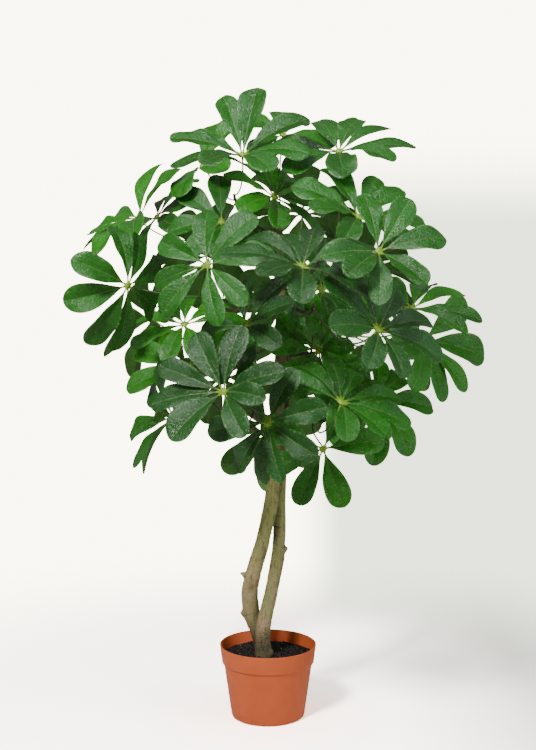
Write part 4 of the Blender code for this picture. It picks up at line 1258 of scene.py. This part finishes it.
class PLANT_OT_pot(bpy.types.Operator):
    """Builds the moulded pot"""

    bl_idname = "plant.pot"
    bl_label = "Pot"

    def execute(self, context):
        finish = plastic_finish(context.scene.plant_colours)
        add_piece("moulded_pot", pot_mesh(), [finish], "pot_plastic", "pot")
        return {"FINISHED"}


class PLANT_OT_soil(bpy.types.Operator):
    """Builds the soil and its loose crumbs"""

    bl_idname = "plant.soil"
    bl_label = "Soil"

    def execute(self, context):
        sizes, colours = context.scene.plant_sizes, context.scene.plant_colours
        add_piece("packed_soil", soil_mesh(), [peat_finish(colours)], "soil", "soil")
        add_piece("soil_crumbs", crumb_mesh(sizes.crumb_count, sizes.crumb_size),
                  [crumb_finish(colours)], "soil")
        return {"FINISHED"}


class PLANT_OT_trunks(bpy.types.Operator):
    """Builds the two trunks"""

    bl_idname = "plant.trunks"
    bl_label = "Trunks"

    def execute(self, context):
        finish = bark_finish(context.scene.plant_colours)
        for seed, name in enumerate(TRUNKS, start=21):
            mesh = trunk_mesh(name, context.scene.plant_sizes.bark_lump, seed)
            add_piece("bark_" + name, mesh, [finish], "bark", name)
        return {"FINISHED"}


class PLANT_OT_twigs(bpy.types.Operator):
    """Builds the twigs"""

    bl_idname = "plant.twigs"
    bl_label = "Twigs"

    def execute(self, context):
        finish = twig_finish(context.scene.plant_colours)
        for seed, name in enumerate(TWIGS, start=41):
            add_piece("twig_" + name[-2:], twig_mesh(name, seed), [finish], "twig", name)
        return {"FINISHED"}


class PLANT_OT_leaves(bpy.types.Operator):
    """Builds the palmate leaves"""

    bl_idname = "plant.leaves"
    bl_label = "Leaves"

    def execute(self, context):
        colours = context.scene.plant_colours
        stalks = stalk_finish(colours)
        blades = {tone: blade_finish(colours, tone) for tone in ("dark", "middle", "bright")}
        for number, leaf in enumerate(LEAVES, start=1):
            mesh = leaf_mesh(leaf, number, context.scene.plant_sizes)
            add_piece(f"foliage_{number:02d}", mesh, [blades[leaf.tone], stalks],
                      "leaf_" + leaf.tone, f"leaf_{number:02d}")
        return {"FINISHED"}


OPERATORS = (PLANT_OT_stage, PLANT_OT_pot, PLANT_OT_soil, PLANT_OT_trunks, PLANT_OT_twigs, PLANT_OT_leaves)


class PLANT_PT_panel(bpy.types.Panel):
    """The plant's settings and its operators"""

    bl_label = "Umbrella plant"
    bl_idname = "PLANT_PT_panel"
    bl_space_type = "VIEW_3D"
    bl_region_type = "UI"
    bl_category = "Plant"

    def draw(self, context):
        for operator in OPERATORS:
            self.layout.operator(operator.bl_idname)
        for name in SETTINGS:
            settings = getattr(context.scene, name)
            box = self.layout.box()
            for key in settings.bl_rna.properties.keys():
                if key not in ("rna_type", "name"):
                    box.prop(settings, key)


SETTINGS = {"plant_sizes": PlantSizes, "plant_colours": PlantColours, "plant_stage": StageSettings}
CLASSES = (*SETTINGS.values(), *OPERATORS, PLANT_PT_panel)


def register():
    """Adds the settings and the operators."""
    for cls in CLASSES:
        bpy.utils.register_class(cls)
    for name, cls in SETTINGS.items():
        setattr(bpy.types.Scene, name, bpy.props.PointerProperty(type=cls))


def unregister():
    """Takes the settings and the operators away again."""
    for name in SETTINGS:
        delattr(bpy.types.Scene, name)
    for cls in reversed(CLASSES):
        bpy.utils.unregister_class(cls)


def main():
    """Registers the add-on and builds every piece."""
    register()
    bpy.ops.plant.stage()
    bpy.ops.plant.pot()
    bpy.ops.plant.soil()
    bpy.ops.plant.trunks()
    bpy.ops.plant.twigs()
    bpy.ops.plant.leaves()


if __name__ == "__main__":
    main()
